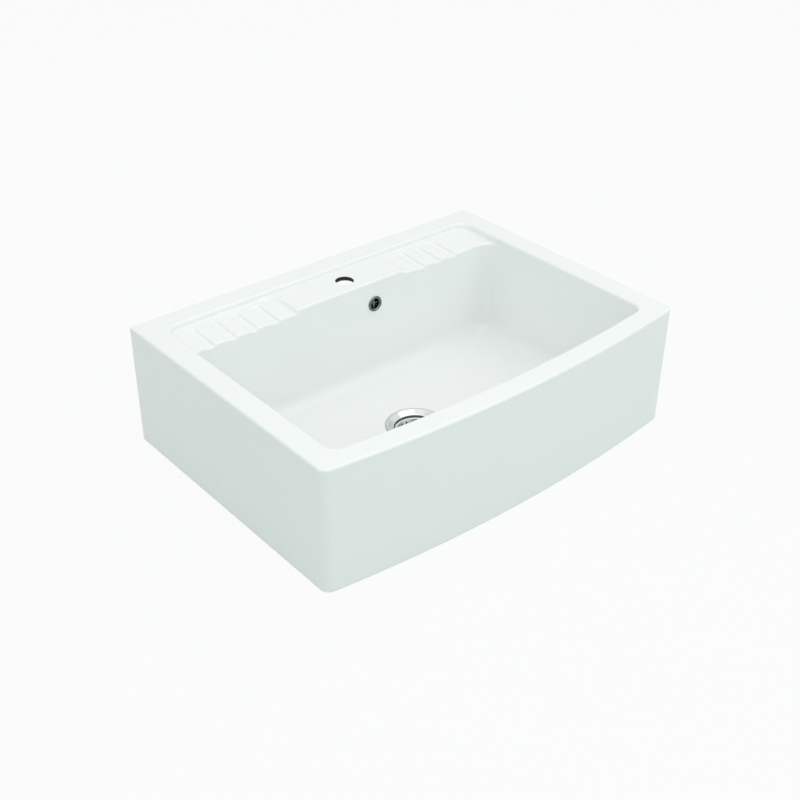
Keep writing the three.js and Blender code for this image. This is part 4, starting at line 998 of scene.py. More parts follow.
    def bowl_rings(self, thickness, land, steps, floor_steps=1):
        """Floor, fillet and foot of the wall, grown outwards by a thickness for the underside."""
        fillet_z = self.floor_rise + self.bowl_fillet
        radius = self.bowl_fillet + thickness
        inset = self.lean(fillet_z) + self.bowl_fillet
        floor = self.bowl_plan(inset)
        turn = np.arctan2(floor[:, 1] - self.waste_y, floor[:, 0])
        circle = np.stack([land * np.cos(turn), self.waste_y + land * np.sin(turn)], 1)
        rings, eased = [], 0.35  # how much of the floor's fall is a soft dish, the rest being a plain cone
        for t in np.linspace(0, 1, floor_steps + 1)[:-1]:
            ease = t * t * (3 - 2 * t) if floor_steps > 1 else t
            rise = self.floor_fall * (eased * ease + (1 - eased) * t)
            rings.append(level_ring(circle + (floor - circle) * t, self.floor_z - thickness + rise))
        for angle in np.linspace(0, math.pi / 2, steps + 1):
            ring = self.bowl_plan(inset - radius * math.sin(angle))
            rings.append(level_ring(ring, fillet_z - radius * math.cos(angle)))
        return rings

    def bowl_edges(self, outline):
        """For each point of the bowl's edge, the height it breaks through and its rounding."""
        profiles = {1: self.lip_profile(1), -1: self.lip_profile(-1)}
        corner = self.half - self.rim - self.bowl_back
        fillet = self.ledge_fillet
        heights, roundings = [], []
        for x, y in outline:
            xs, zs = profiles[1 if x > 0 else -1]
            if y <= self.ledge_front_y + 1e-5:
                heights.append(self.height + SKIN)
                roundings.append(self.rim_radius)
                continue
            across = (abs(x) - corner) / self.bowl_back
            if across <= 0.02:
                z = float(np.interp(abs(x), xs, zs)) if abs(x) > xs[0] else self.platform_z
                if abs(x) > xs[-1]:
                    z = self.drainer_z(self.lip_y + self.lip_radius)
                heights.append(z + SKIN)
                roundings.append(self.lip_radius)
                continue
            room = self.bowl_back * (1 / across - 1)
            into = abs(x) - (self.half - self.rim - fillet)
            rise = fillet - math.sqrt(max(fillet**2 - min(into, fillet) ** 2, 0)) if into > 0 else 0.0
            heights.append(self.drainer_z(y + min(room, self.lip_radius)) + rise + SKIN)
            roundings.append(min(max(room, 0.0002), self.lip_radius))
        return np.array(heights), np.array(roundings)


def sizes():
    """All sizes as they are now."""
    scene = bpy.context.scene
    return Sizes(scene.sink_basin, scene.sink_waste, scene.sink_basket, scene.sink_overflow)


def outer_block(s, finish):
    """The basin before anything is taken out of it."""
    rings = []
    for a in np.linspace(0, math.pi / 2, 6):
        inset = s.foot_radius * (1 - math.sin(a))
        rings.append(level_ring(s.outer_plan(inset), s.foot_radius * (1 - math.cos(a))))
    for a in np.linspace(0, math.pi / 2, 8):
        inset = s.rim_radius * (1 - math.cos(a))
        rings.append(level_ring(s.outer_plan(inset), s.height - s.rim_radius * (1 - math.sin(a))))
    return loft("basin", rings, finish)


def bowl_cutter(s, finish):
    """The bowl with its rounded edge, which follows the ledge's grooves and platform."""
    land = s.seat_radius + 0.003
    rings = s.bowl_rings(0, land, 10, 8)
    edge = s.bowl_plan(0)
    heights, roundings = s.bowl_edges(edge)
    outlines = {}

    def at(inset):
        key = round(inset, 6)
        if key not in outlines:
            outlines[key] = s.bowl_plan(key)
        return outlines[key]

    for a in np.linspace(0, math.pi / 2, 8):
        z = heights - roundings * (1 - math.sin(a))
        inset = (s.height - z) * math.tan(s.wall_lean) - roundings * (1 - math.cos(a))
        rings.append(np.array([[*at(i)[k], h] for k, (i, h) in enumerate(zip(inset, z))]))
    rings.append(np.array([[*at(-r)[k], s.height + s.rim_radius] for k, r in enumerate(roundings)]))
    return loft("bowl", rings, finish)


def hollow_cutter(s, finish):
    """The hollow between skirt and bowl, open underneath."""
    room = pushed("room", s.outer_plan(s.wall), 2, -REACH, s.height - s.wall, finish)
    front, side = s.ledge_front_y - s.ledge_fillet, s.platform / 2 - s.wall
    slab = block("slab", -s.half, s.half, front, s.back_y, s.ledge_under_z, s.height, finish)
    pocket = block(
        "pocket", -side, side, front - s.ledge_fillet, s.back_y + REACH,
        s.ledge_under_z - REACH, s.platform_under_z, finish
    )
    rings = s.bowl_rings(s.wall, s.land_radius, 6)
    rings.append(level_ring(s.bowl_plan(-s.wall), s.height))
    return cut(room, [cut(slab, [pocket]), loft("underside", rings, finish)])


def ledge_cutter(s, finish):
    """The sunken ledge, less the tap platform that stands in it."""
    side = s.half - s.rim

    def outline(grow):
        r, front = s.ledge_corner + grow, s.ledge_front_y - max(grow, 0)
        return np.concatenate([
            [[side + grow, front]],
            arc(side - s.ledge_corner, s.step_y - s.ledge_corner, r, 0, 90, 20),
            arc(s.ledge_corner - side, s.step_y - s.ledge_corner, r, 90, 180, 20),
            [[-side - grow, front]],
        ])

    rings = []
    for a in np.linspace(0, math.pi / 2, 9):
        ring = outline(-s.ledge_fillet * (1 - math.sin(a)))
        rings.append(level_ring(ring, s.drainer_z(ring[:, 1]) + s.ledge_fillet * (1 - math.cos(a))))
    for a in np.linspace(0, math.pi / 2, 8):
        grow = s.step_radius * (1 - math.cos(a))
        rings.append(level_ring(outline(grow), s.height + SKIN - s.step_radius * (1 - math.sin(a))))
    rings.append(level_ring(outline(s.step_radius), s.height + s.rim_radius))
    return cut(loft("ledge", rings, finish), [platform_block(s, finish)])


def platform_block(s, finish):
    """The raised middle of the ledge, with a soft foot and a flare into the back step."""
    flare_y = s.step_y - s.platform_corner
    front, back = s.ledge_front_y - 2 * s.rim_radius, s.step_y + 2 * s.rim_radius

    def outline(inset):
        right, left = s.platform / 2 - inset * s.right_ramp, inset - s.platform / 2
        r = s.platform_corner + inset
        far, wide = right + s.platform_corner + inset, left - s.platform_corner - inset
        return np.concatenate([
            [[right, front]], arc(far, flare_y, r, 180, 90, 16), [[far, back]],
            [[wide, back]], arc(wide, flare_y, r, 90, 0, 16), [[left, front]],
        ])

    rings = [level_ring(outline(-s.platform_ramp), s.ledge_under_z)]
    for share in np.linspace(0, 1, 15):
        ring = outline(s.platform_ramp * (2 * share - 1))
        low = s.drainer_z(ring[:, 1]) - SKIN
        rings.append(level_ring(ring, low + (s.platform_z - low) * (1 - math.cos(math.pi * share)) / 2))
    return loft("platform", rings, finish)


def groove_cutter(s, finish):
    """One soft-edged drainer groove, centred on x = 0."""
    past_lip, middle = 0.012, 0.0006
    end, front = s.lip_y + s.groove_length - s.groove_half, s.lip_y - past_lip
    rings = []
    for r in (middle, *np.linspace(s.groove_half - s.groove_wall, s.groove_half, 10)):
        ring = np.concatenate([[[r, front]], arc(0, end, r, 0, 180, 24), [[-r, front]]])
        ring[:, 0] *= np.where(ring[:, 0] < 0, s.groove_left(r) / r, 1)
        rings.append(level_ring(ring, s.drainer_z(ring[:, 1]) - s.groove_dip(r, ring[:, 1])))
    last = rings[-1].copy()
    last[:, 2] = s.height + s.rim_radius
    rings.append(last)
    return loft("grooves", rings, finish)


def rear_cutter(s, finish):
    """Access to the tap's fixings from behind."""
    side, r = s.half - s.rear_return, s.opening_radius
    z = s.height - s.rail - r
    shape = np.concatenate([
        [[side, -REACH]], arc(side - r, z, r, 0, 90, 12), arc(r - side, z, r, 90, 180, 12), [[-side, -REACH]],
    ])
    return pushed("rear", shape, 1, s.back_y - s.wall - REACH, s.back_y + REACH, finish)


def overflow_matrix(s):
    """From the overflow's own axis to its place in the wall."""
    spot = Vector((s.overflow_offset, s.lip_y - s.lean(s.overflow_z), s.overflow_z))
    return Matrix.Translation(spot) @ Matrix.Rotation(math.pi / 2 - s.wall_lean, 4, "X")


class SINK_OT_basin(bpy.types.Operator):
    """Make the glazed basin with its ledge, drainers, holes and hollow underside"""

    bl_idname = "sink.basin"
    bl_label = "Basin"

    def execute(self, context):
        s = sizes()
        glaze, thin = finish_of("glaze"), finish_of("thin_glaze")
        basin = outer_block(s, glaze)
        basin.data.materials.append(thin)
        # this slot holds the near-black painted shade for the tap hole's wall
        basin.data.materials.append(finish_of("bore"))
        row = row_tree()
        left, right = groove_cutter(s, glaze), groove_cutter(s, glaze)
        run_tree(left, row, Count=s.left_grooves, First=-s.left_first, Pitch=-s.left_pitch, Finish=glaze)
        run_tree(right, row, Count=s.right_grooves, First=s.right_first, Pitch=s.right_pitch, Finish=glaze)
        tap = self.tap_cutter(s, glaze)
        seat = self.seat_cutter(s, glaze)
        hole = rod("hole", s.overflow_hole, -2 * s.wall, s.wall, 64, glaze)
        place(hole, overflow_matrix(s))
        cut(basin, [
            hollow_cutter(s, thin), ledge_cutter(s, glaze), left, right, bowl_cutter(s, glaze), tap,
            rear_cutter(s, glaze), seat, hole,
        ])
        smooth(basin)
        own(basin, "glaze", "sink_basin")
        return {"FINISHED"}

    def seat_cutter(self, s, glaze):
        """The hole for the waste, with the seat that its flange sits in."""
        soft, above = 0.0015, s.floor_rise + 0.002
        seat_z = s.floor_z - s.seat_depth
        seat = turned("seat", [
            [0, -REACH], [s.waste_hole, -REACH], [s.waste_hole, seat_z - s.seat_bevel],
            [s.waste_hole + s.seat_bevel, seat_z], [s.seat_radius, seat_z],
            *arc(s.seat_radius + soft, s.floor_z + THIN_SKIN - soft, soft, 180, 90, 5),
            [s.seat_radius + soft, above], [0, above],
        ], 128, material=glaze)
        return place(seat, Matrix.Translation((0, s.waste_y, 0)))

    def tap_cutter(self, s, glaze):
        """The tap hole with its rounded edge, a bore wall painted near-black as shade, and recess below."""
        edge, foot = s.tap_radius + s.tap_edge, s.ledge_under_z - REACH
        recess_z = s.platform_under_z + s.tap_recess_depth
        tap = turned("tap", [
            [0, foot], [s.tap_recess, foot], [s.tap_recess, recess_z], [s.tap_radius, recess_z],
            *arc(edge, s.platform_z + THIN_SKIN - s.tap_edge, s.tap_edge, 180, 90, 8),
            [edge, s.height], [0, s.height],
        ], 96, material=glaze)
        # the bore wall takes the near-black painted shade finish
        tap.data.materials.append(finish_of("bore"))
        bore_low, bore_high = recess_z - REACH, s.platform_z - s.tap_edge * 0.6
        for face in tap.data.polygons:
            if abs(face.normal.z) < 0.3 and bore_low < face.center.z < bore_high:
                face.material_index = 1
        return place(tap, Matrix.Translation((s.tap_offset, s.lip_y + s.tap_from_lip, 0)))


# ---------- waste ----------
def at_waste(s, turn=0.0):
    """The waste's axis, turned about itself."""
    return Matrix.Translation((0, s.waste_y, 0)) @ Matrix.Rotation(turn, 4, "Z")


def washer(name, inner, outer, low, high, soft, finish, segments=96):
    """A flat ring with softened edges."""
    ring = [[inner, low], [outer, low], [outer, high], [inner, high]]
    return turned(name, rounded(ring, soft, 3, True), segments, True, finish)


def rows_between(radius, low, high, step):
    """Profile points close together along a straight wall, for a thread."""
    return [[radius, z] for z in np.linspace(low, high, max(2, round(abs(high - low) / step) + 1))]


def dress(obj, matrix, slot, node, degrees=35, body="sink"):
    """Places a finished piece, shades it, gives it its body and hides its solid."""
    place(obj, matrix)
    outwards(obj)
    smooth(obj, degrees)
    return own(obj, slot, node, body=body)


class SINK_OT_cup(bpy.types.Operator):
    """Make the steel strainer cup with its flange, ledge and waterways, and the gasket under the flange"""

    bl_idname = "sink.cup"
    bl_label = "Strainer cup"

    def execute(self, context):
        s, steel = sizes(), finish_of("steel")
        slope = math.atan2(s.throat_depth, s.crown_radius - s.throat)

        def cone(r):
            return s.flange_top_z - (s.crown_radius - r) * math.tan(slope)

        bend, bend_z = s.cup - s.cup_bend, s.cup_floor_z + s.cup_bend
        outside = s.throat + s.sheet
        flat_from = (s.crown_radius - (s.flange_top_z - s.flange_under_z) / math.tan(slope)
                     + s.sheet / math.sin(slope))
        profile = [
            ([s.flange_radius, s.flange_under_z], 0.0002),
            ([s.flange_radius, s.flange_under_z + 0.0009], 0.0005),
            ([s.flange_radius - 0.001, s.flange_top_z - 0.0004], 0.001),
            ([s.crown_radius + 0.0005, s.flange_top_z], 0.003),
            ([s.throat, s.cone_foot_z], 0.003), ([s.throat, s.basket_ledge_z], 0.0003),
            ([s.cup, s.basket_ledge_z], 0.0008),
            *sharp(arc(bend, bend_z, s.cup_bend, 0, -90, 8)),
            ([s.pin_hole, s.cup_floor_z], 0.0001), ([s.pin_hole, s.cup_floor_z - s.sheet], 0.0001),
            *sharp(arc(bend, bend_z, s.cup_bend + s.sheet, -90, 0, 8)),
            ([s.cup + s.sheet, s.basket_ledge_z - s.sheet], 0.0006),
            ([outside, s.basket_ledge_z - s.sheet], 0.0008),
            ([outside, cone(outside) - s.sheet / math.cos(slope)], 0.002),
            ([flat_from, s.flange_under_z], 0.002),
        ]
        cup = turned("strainer_cup_steel", soften(profile, 5, True), 160, True, steel)
        cut(cup, [self.waterways(s, steel)])
        # the cup's inner faces below the cone take the darker steel as painted shade
        cup.data.materials.append(finish_of("deep_steel"))
        shaded_z, shaded_radius = s.cone_foot_z + 0.0004, s.throat + 0.0006
        for face in cup.data.polygons:
            away = math.hypot(face.center.x, face.center.y)
            inside = face.normal.x * face.center.x + face.normal.y * face.center.y < 0.3 * away
            if inside and face.center.z < shaded_z and away < shaded_radius:
                face.material_index = 1
        dress(cup, at_waste(s), "steel", "strainer_cup")
        low = s.floor_z - s.seat_depth + s.fit
        gasket = washer("flange_gasket", s.crown_radius - 0.0003, s.flange_radius - 0.0007, low,
                        low + s.cup_gasket, 0.0003, finish_of("grey_rubber"), 128)
        dress(gasket, at_waste(s), "grey_rubber", "cup_gasket")
        return {"FINISHED"}

    def waterways(self, s, steel):
        """The openings in the cup's floor, as wedges with rounded corners."""
        half_arm = math.asin(s.waterway_arm / 2 / s.waterway_outer)
        wide = math.degrees(2 * math.pi / s.waterways - 2 * half_arm)
        corner = 0.002
        inner = sharp(arc(0, 0, s.waterway_inner, wide, 0, 12))
        outer = sharp(arc(0, 0, s.waterway_outer, 0, wide, 24))
        for side in (inner, outer):
            for end in (0, -1):
                side[end] = (side[end][0], corner)
        low, high = s.cup_floor_z - 2.5 * s.sheet, s.cup_floor_z + 1.5 * s.sheet
        opening = pushed("waterways", soften(inner + outer, 5, True), 2, low, high, steel)
        return run_tree(opening, wheel_tree(), Count=s.waterways, Turn=half_arm, Finish=steel)


class SINK_OT_basket(bpy.types.Operator):
    """Make the lift-out basket with its slots, holes, knob, seal and retainer"""

    bl_idname = "sink.basket"
    bl_label = "Basket strainer"

    def execute(self, context):
        s, steel, axis = sizes(), finish_of("steel"), at_waste(sizes())
        inside, sheet, foot = s.basket_outside - s.basket_sheet, s.basket_sheet, s.trough_z + 0.003
        profile = [
            ([s.basket_lip, s.lip_z], 0.0004), ([s.basket_lip, s.lip_z + sheet], 0.0004),
            ([inside, s.lip_z + sheet], 0.0015), ([inside - s.basket_taper, foot], 0.003),
            ([s.trough_outer, s.trough_z], 0.002), ([s.trough_inner, s.trough_z], 0.002),
            ([s.crown_top, s.crown_z], 0.003), ([s.stem_hole, s.crown_z], 0.0002),
            ([s.stem_hole, s.crown_z - sheet], 0.0002), ([s.crown_top, s.crown_z - sheet], 0.003),
            ([s.trough_inner, s.trough_z - sheet], 0.002),
            ([s.trough_outer + 0.0004, s.trough_z - sheet], 0.002),
            ([inside - s.basket_taper + sheet, foot - 0.0004], 0.003), ([s.basket_outside, s.lip_z], 0.0006),
        ]
        basket = turned("basket_steel", soften(profile, 5, True), 144, True, steel)
        middle, half = (s.lip_z + foot) / 2, s.slot_width / 2
        low, high = middle - s.slot_height / 2 + half, middle + s.slot_height / 2 - half
        shape = np.concatenate([arc(0, high, half, 0, 180, 8), arc(0, low, half, 180, 360, 8)])
        past = 0.002
        slot = pushed("slots", shape, 0, inside - s.basket_taper - past, s.basket_outside + past, steel)
        wheel = wheel_tree()
        run_tree(slot, wheel, Count=s.wall_slots, Turn=0.0, Finish=steel)
        hole = rod("holes", s.trough_hole, s.trough_z - 0.003, s.trough_z + 0.003, 20, steel)
        place(hole, Matrix.Translation(((s.trough_outer + s.trough_inner) / 2, 0, 0)))
        run_tree(hole, wheel, Count=s.trough_holes, Turn=0.0, Finish=steel)
        cut(basket, [slot, hole])
        dress(basket, axis, "steel", "strainer_basket", body="strainer")
        self.knob(s, axis)
        self.seal(s, axis)
        return {"FINISHED"}

    def knob(self, s, axis):
        """The turned knob with its stem, hollow for the pin's bulb."""
        seat, top, r, neck = s.crown_z + s.fit, s.crown_z + s.knob_height, s.knob, s.knob_neck
        hollow = s.pin + s.fit
        profile = [
            ([0, top], 0), ([r - 0.0032, top - 0.0003], 0.006), ([r, top - 0.0024], 0.0012),
            ([r - 0.0002, top - 0.0042], 0.0012), ([neck + 0.001, top - 0.0068], 0.003),
            ([neck, top - 0.0095], 0.003), ([neck, seat + 0.0026], 0.002),
            ([s.stem + 0.0026, seat + 0.0012], 0.0008), ([s.stem + 0.0034, seat], 0.0003),
            ([s.stem, seat], 0), ([s.stem, s.stem_foot_z], 0.0004), ([hollow, s.stem_foot_z], 0.0003),
            ([hollow, s.pin_top_z + 0.002], 0.0006), ([0, s.pin_top_z + 0.003], 0),
        ]
        knob = turned("knob_chrome", soften(profile, 6), 96, material=finish_of("chrome"))
        dress(knob, axis, "chrome", "basket_knob", 45, body="strainer")

    def seal(self, s, axis):
        """The rubber seal that closes on the cup's floor, and the ring that holds it."""
        low, top = s.cup_floor_z + s.fit, s.crown_z - s.basket_sheet - s.fit
        under = s.seal_top_z - s.seal_thickness
        profile = [
            ([s.stem_hole, top], 0.0002), ([s.stem_hole, under], 0.0002),
            ([s.seal_lip - 0.003, under], 0.001), ([s.seal_lip - 0.0014, low], 0.0003),
            ([s.seal_lip, low], 0.0004), ([s.seal_lip, s.seal_top_z - 0.0015], 0.001),
            ([s.trough_outer - 0.002, s.seal_top_z], 0.002), ([s.trough_inner - 0.0002, s.seal_top_z], 0.001),
            ([s.crown_top - 0.0002, top], 0.001),
        ]
        seal = turned("basket_seal_rubber", soften(profile, 4, True), 96, True, finish_of("black_rubber"))
        dress(seal, axis, "black_rubber", "basket_seal", 45, body="strainer")
        ring = washer("seal_ring", s.stem_hole, s.retainer, s.stem_foot_z, s.retainer_top_z, 0.0003,
                      finish_of("brass"))
        dress(ring, axis, "brass", "seal_retainer", body="strainer")


class SINK_OT_waste(bpy.types.Operator):
    """Make the moulded waste body with its threaded outlet, ribs, boss and side inlet, and its small parts"""

    bl_idname = "sink.waste"
    bl_label = "Waste body"

    def execute(self, context):
        s, white, axis = sizes(), finish_of("white_plastic"), at_waste(sizes())
        shell = self.shell(s, white)
        wheel, thread = wheel_tree(), thread_tree()
        top = s.body_top_z - s.body_flange_thickness
        root, tip = s.body_radius - REACH, s.body_flange - 0.0003
        rib = [[root, top - s.gusset_drop], [tip, top - 0.001], [tip, top + REACH], [root, top + REACH]]
        gusset = pushed("gussets", rib, 1, -s.gusset / 2, s.gusset / 2, white)
        start = math.pi / 2 - s.inlet_turn
        run_tree(gusset, wheel, Count=s.gussets, Turn=start + math.pi / s.gussets, Finish=white)
        boss_foot = s.pin_foot_z - s.body_wall
        boss = turned("boss", rounded([[0, boss_foot], [s.boss, boss_foot], [s.boss, s.boss_top_z],
                                       [0, s.boss_top_z]], 0.0008, 4), 48, material=white)
        web = block("webs", 0.004, root, -s.web / 2, s.web / 2, boss_foot + 0.001,
                    s.chamber_foot_z + s.web / 2, white)
        half, outlet, ceiling = s.body_wall / 2, s.outlet - REACH, s.body_top_z - REACH
        cone = turned("cone", [
            [0, s.outlet_end_z], [outlet, s.outlet_end_z], [outlet, s.cone_end_z - half],
            [root, s.chamber_foot_z - half], [root, ceiling], [0, ceiling],
        ], 96, material=white)
        run_tree(web, wheel, Count=s.webs, Turn=start + math.pi / s.webs, Finish=white)
        cut(web, [cone], "INTERSECT")
        inlet = self.inlet(s, thread, white)
        cut(shell, [gusset, boss, web, inlet], "UNION")
        inner = s.body_radius - s.body_wall - 2 * REACH
        bore = rod("bore", s.spigot_bore, inner, s.inlet_reach + REACH, 64, white)
        place(bore, self.inlet_axis(s))
        below, above = s.pin_foot_z - REACH, s.boss_top_z + REACH
        pocket, shelf = s.pin_hole + s.insert_wall + s.fit, s.boss_top_z - s.insert_length - 2 * s.fit
        pin = turned("pin_hole", [
            [0, below], [s.pin_hole, below], [s.pin_hole, shelf], [pocket, shelf], [pocket, above],
            [0, above],
        ], 48, material=white)
        cut(shell, [bore, pin])
        dress(shell, axis, "white_plastic", "waste_body", 38)
        self.small_parts(s, axis, thread)
        return {"FINISHED"}

    def inlet_axis(self, s):
        """From the inlet's own axis to its place on the chamber."""
        return (Matrix.Translation((0, 0, s.inlet_z)) @ Matrix.Rotation(-s.inlet_turn, 4, "Z")
                @ Matrix.Rotation(-math.pi / 2, 4, "X"))

    def shell(self, s, white):
        """Flange, chamber, cone and threaded outlet in one wall."""
        inner, bore, half = s.body_radius - s.body_wall, s.outlet - s.outlet_wall, s.body_wall / 2
        thread_top = s.cone_end_z - half - 0.004
        under = s.body_top_z - s.body_flange_thickness
        profile = [
            *sharp(rows_between(s.outlet, s.outlet_end_z, thread_top, 0.0004)),
            ([s.outlet, s.cone_end_z - half], 0.003), ([s.body_radius, s.chamber_foot_z - half], 0.005),
            ([s.body_radius, under], 0.001), ([s.body_flange, under], 0.0006),
            ([s.body_flange, s.body_top_z], 0.0006), ([inner, s.body_top_z], 0.0006),
            ([inner, s.chamber_foot_z], 0.004), ([bore, s.cone_end_z], 0.004),
            ([bore, s.outlet_end_z], 0.0004),
        ]
        shell = turned("waste_moulding", soften(profile, 5, True), 128, True, white)
        return run_tree(shell, thread_tree(), Radius=s.outlet, Depth=0.0011, Pitch=s.outlet_pitch,
                        Low=s.outlet_end_z + 0.0008, High=thread_top - 0.0005, Finish=white)

    def inlet(self, s, thread, white):
        """The threaded side inlet, with a collar where it leaves the chamber."""
        root, face, collar = s.body_radius - s.body_wall + REACH, s.inlet_reach, s.spigot + 0.0015
        profile = [
            ([0, root], 0), ([collar, root], 0), ([collar, s.body_radius + 0.003], 0.0008),
            ([s.spigot, s.body_radius + 0.004], 0.0006),
            *sharp(rows_between(s.spigot, s.body_radius + 0.0055, face - 0.0006, 0.0003)),
            ([s.spigot - 0.0006, face], 0), ([0, face], 0),
        ]
        inlet = turned("inlet", soften(profile, 4), 72, material=white)
        run_tree(inlet, thread, Radius=s.spigot, **SPIGOT_THREAD, Low=s.body_radius + 0.006,
                 High=face - 0.001, Finish=white)
        return place(inlet, self.inlet_axis(s))

    def small_parts(self, s, axis, thread):
        """The gasket under the bowl, the pin and its brass insert."""
        low = s.body_top_z + s.fit
        gasket = washer("bowl_gasket", s.body_radius - s.body_wall, s.body_flange - 0.001, low,
                        low + s.body_gasket, 0.0006, finish_of("black_rubber"), 128)
        dress(gasket, axis, "black_rubber", "body_gasket")
        collar = s.cup_floor_z + s.fit
        collar_top = collar + s.pin_collar_height
        screwed = rows_between(s.pin, s.pin_foot_z + 0.001, collar - 0.0005, 0.00015)
        profile = [
            ([0, s.pin_foot_z], 0), ([s.pin - 0.001, s.pin_foot_z], 0), *sharp(screwed),
            ([s.pin, collar], 0), ([s.pin_collar, collar], 0.0003), ([s.pin_collar, collar_top], 0.0004),
            ([s.pin_stem, collar_top], 0.0002), ([s.pin_stem, s.pin_top_z - 0.003], 0.001),
            ([s.pin, s.pin_top_z - 0.002], 0.0008), ([s.pin, s.pin_top_z - 0.001], 0.0008),
            ([s.pin_stem - 0.0008, s.pin_top_z], 0.0006), ([0, s.pin_top_z], 0),
        ]
        steel = finish_of("steel")
        pin = turned("pin_steel", soften(profile, 4), 40, material=steel)
        run_tree(pin, thread, Radius=s.pin, Depth=0.0005, Pitch=0.001, Low=s.pin_foot_z + 0.001,
                 High=collar - 0.003, Finish=steel)
        dress(pin, axis, "steel", "centre_pin", 45)
        top = s.boss_top_z - s.fit
        insert = washer("pin_insert", s.pin_hole, s.pin_hole + s.insert_wall, top - s.insert_length, top,
                        0.0003, finish_of("brass"), 48)
        dress(insert, axis, "brass", "waste_insert")


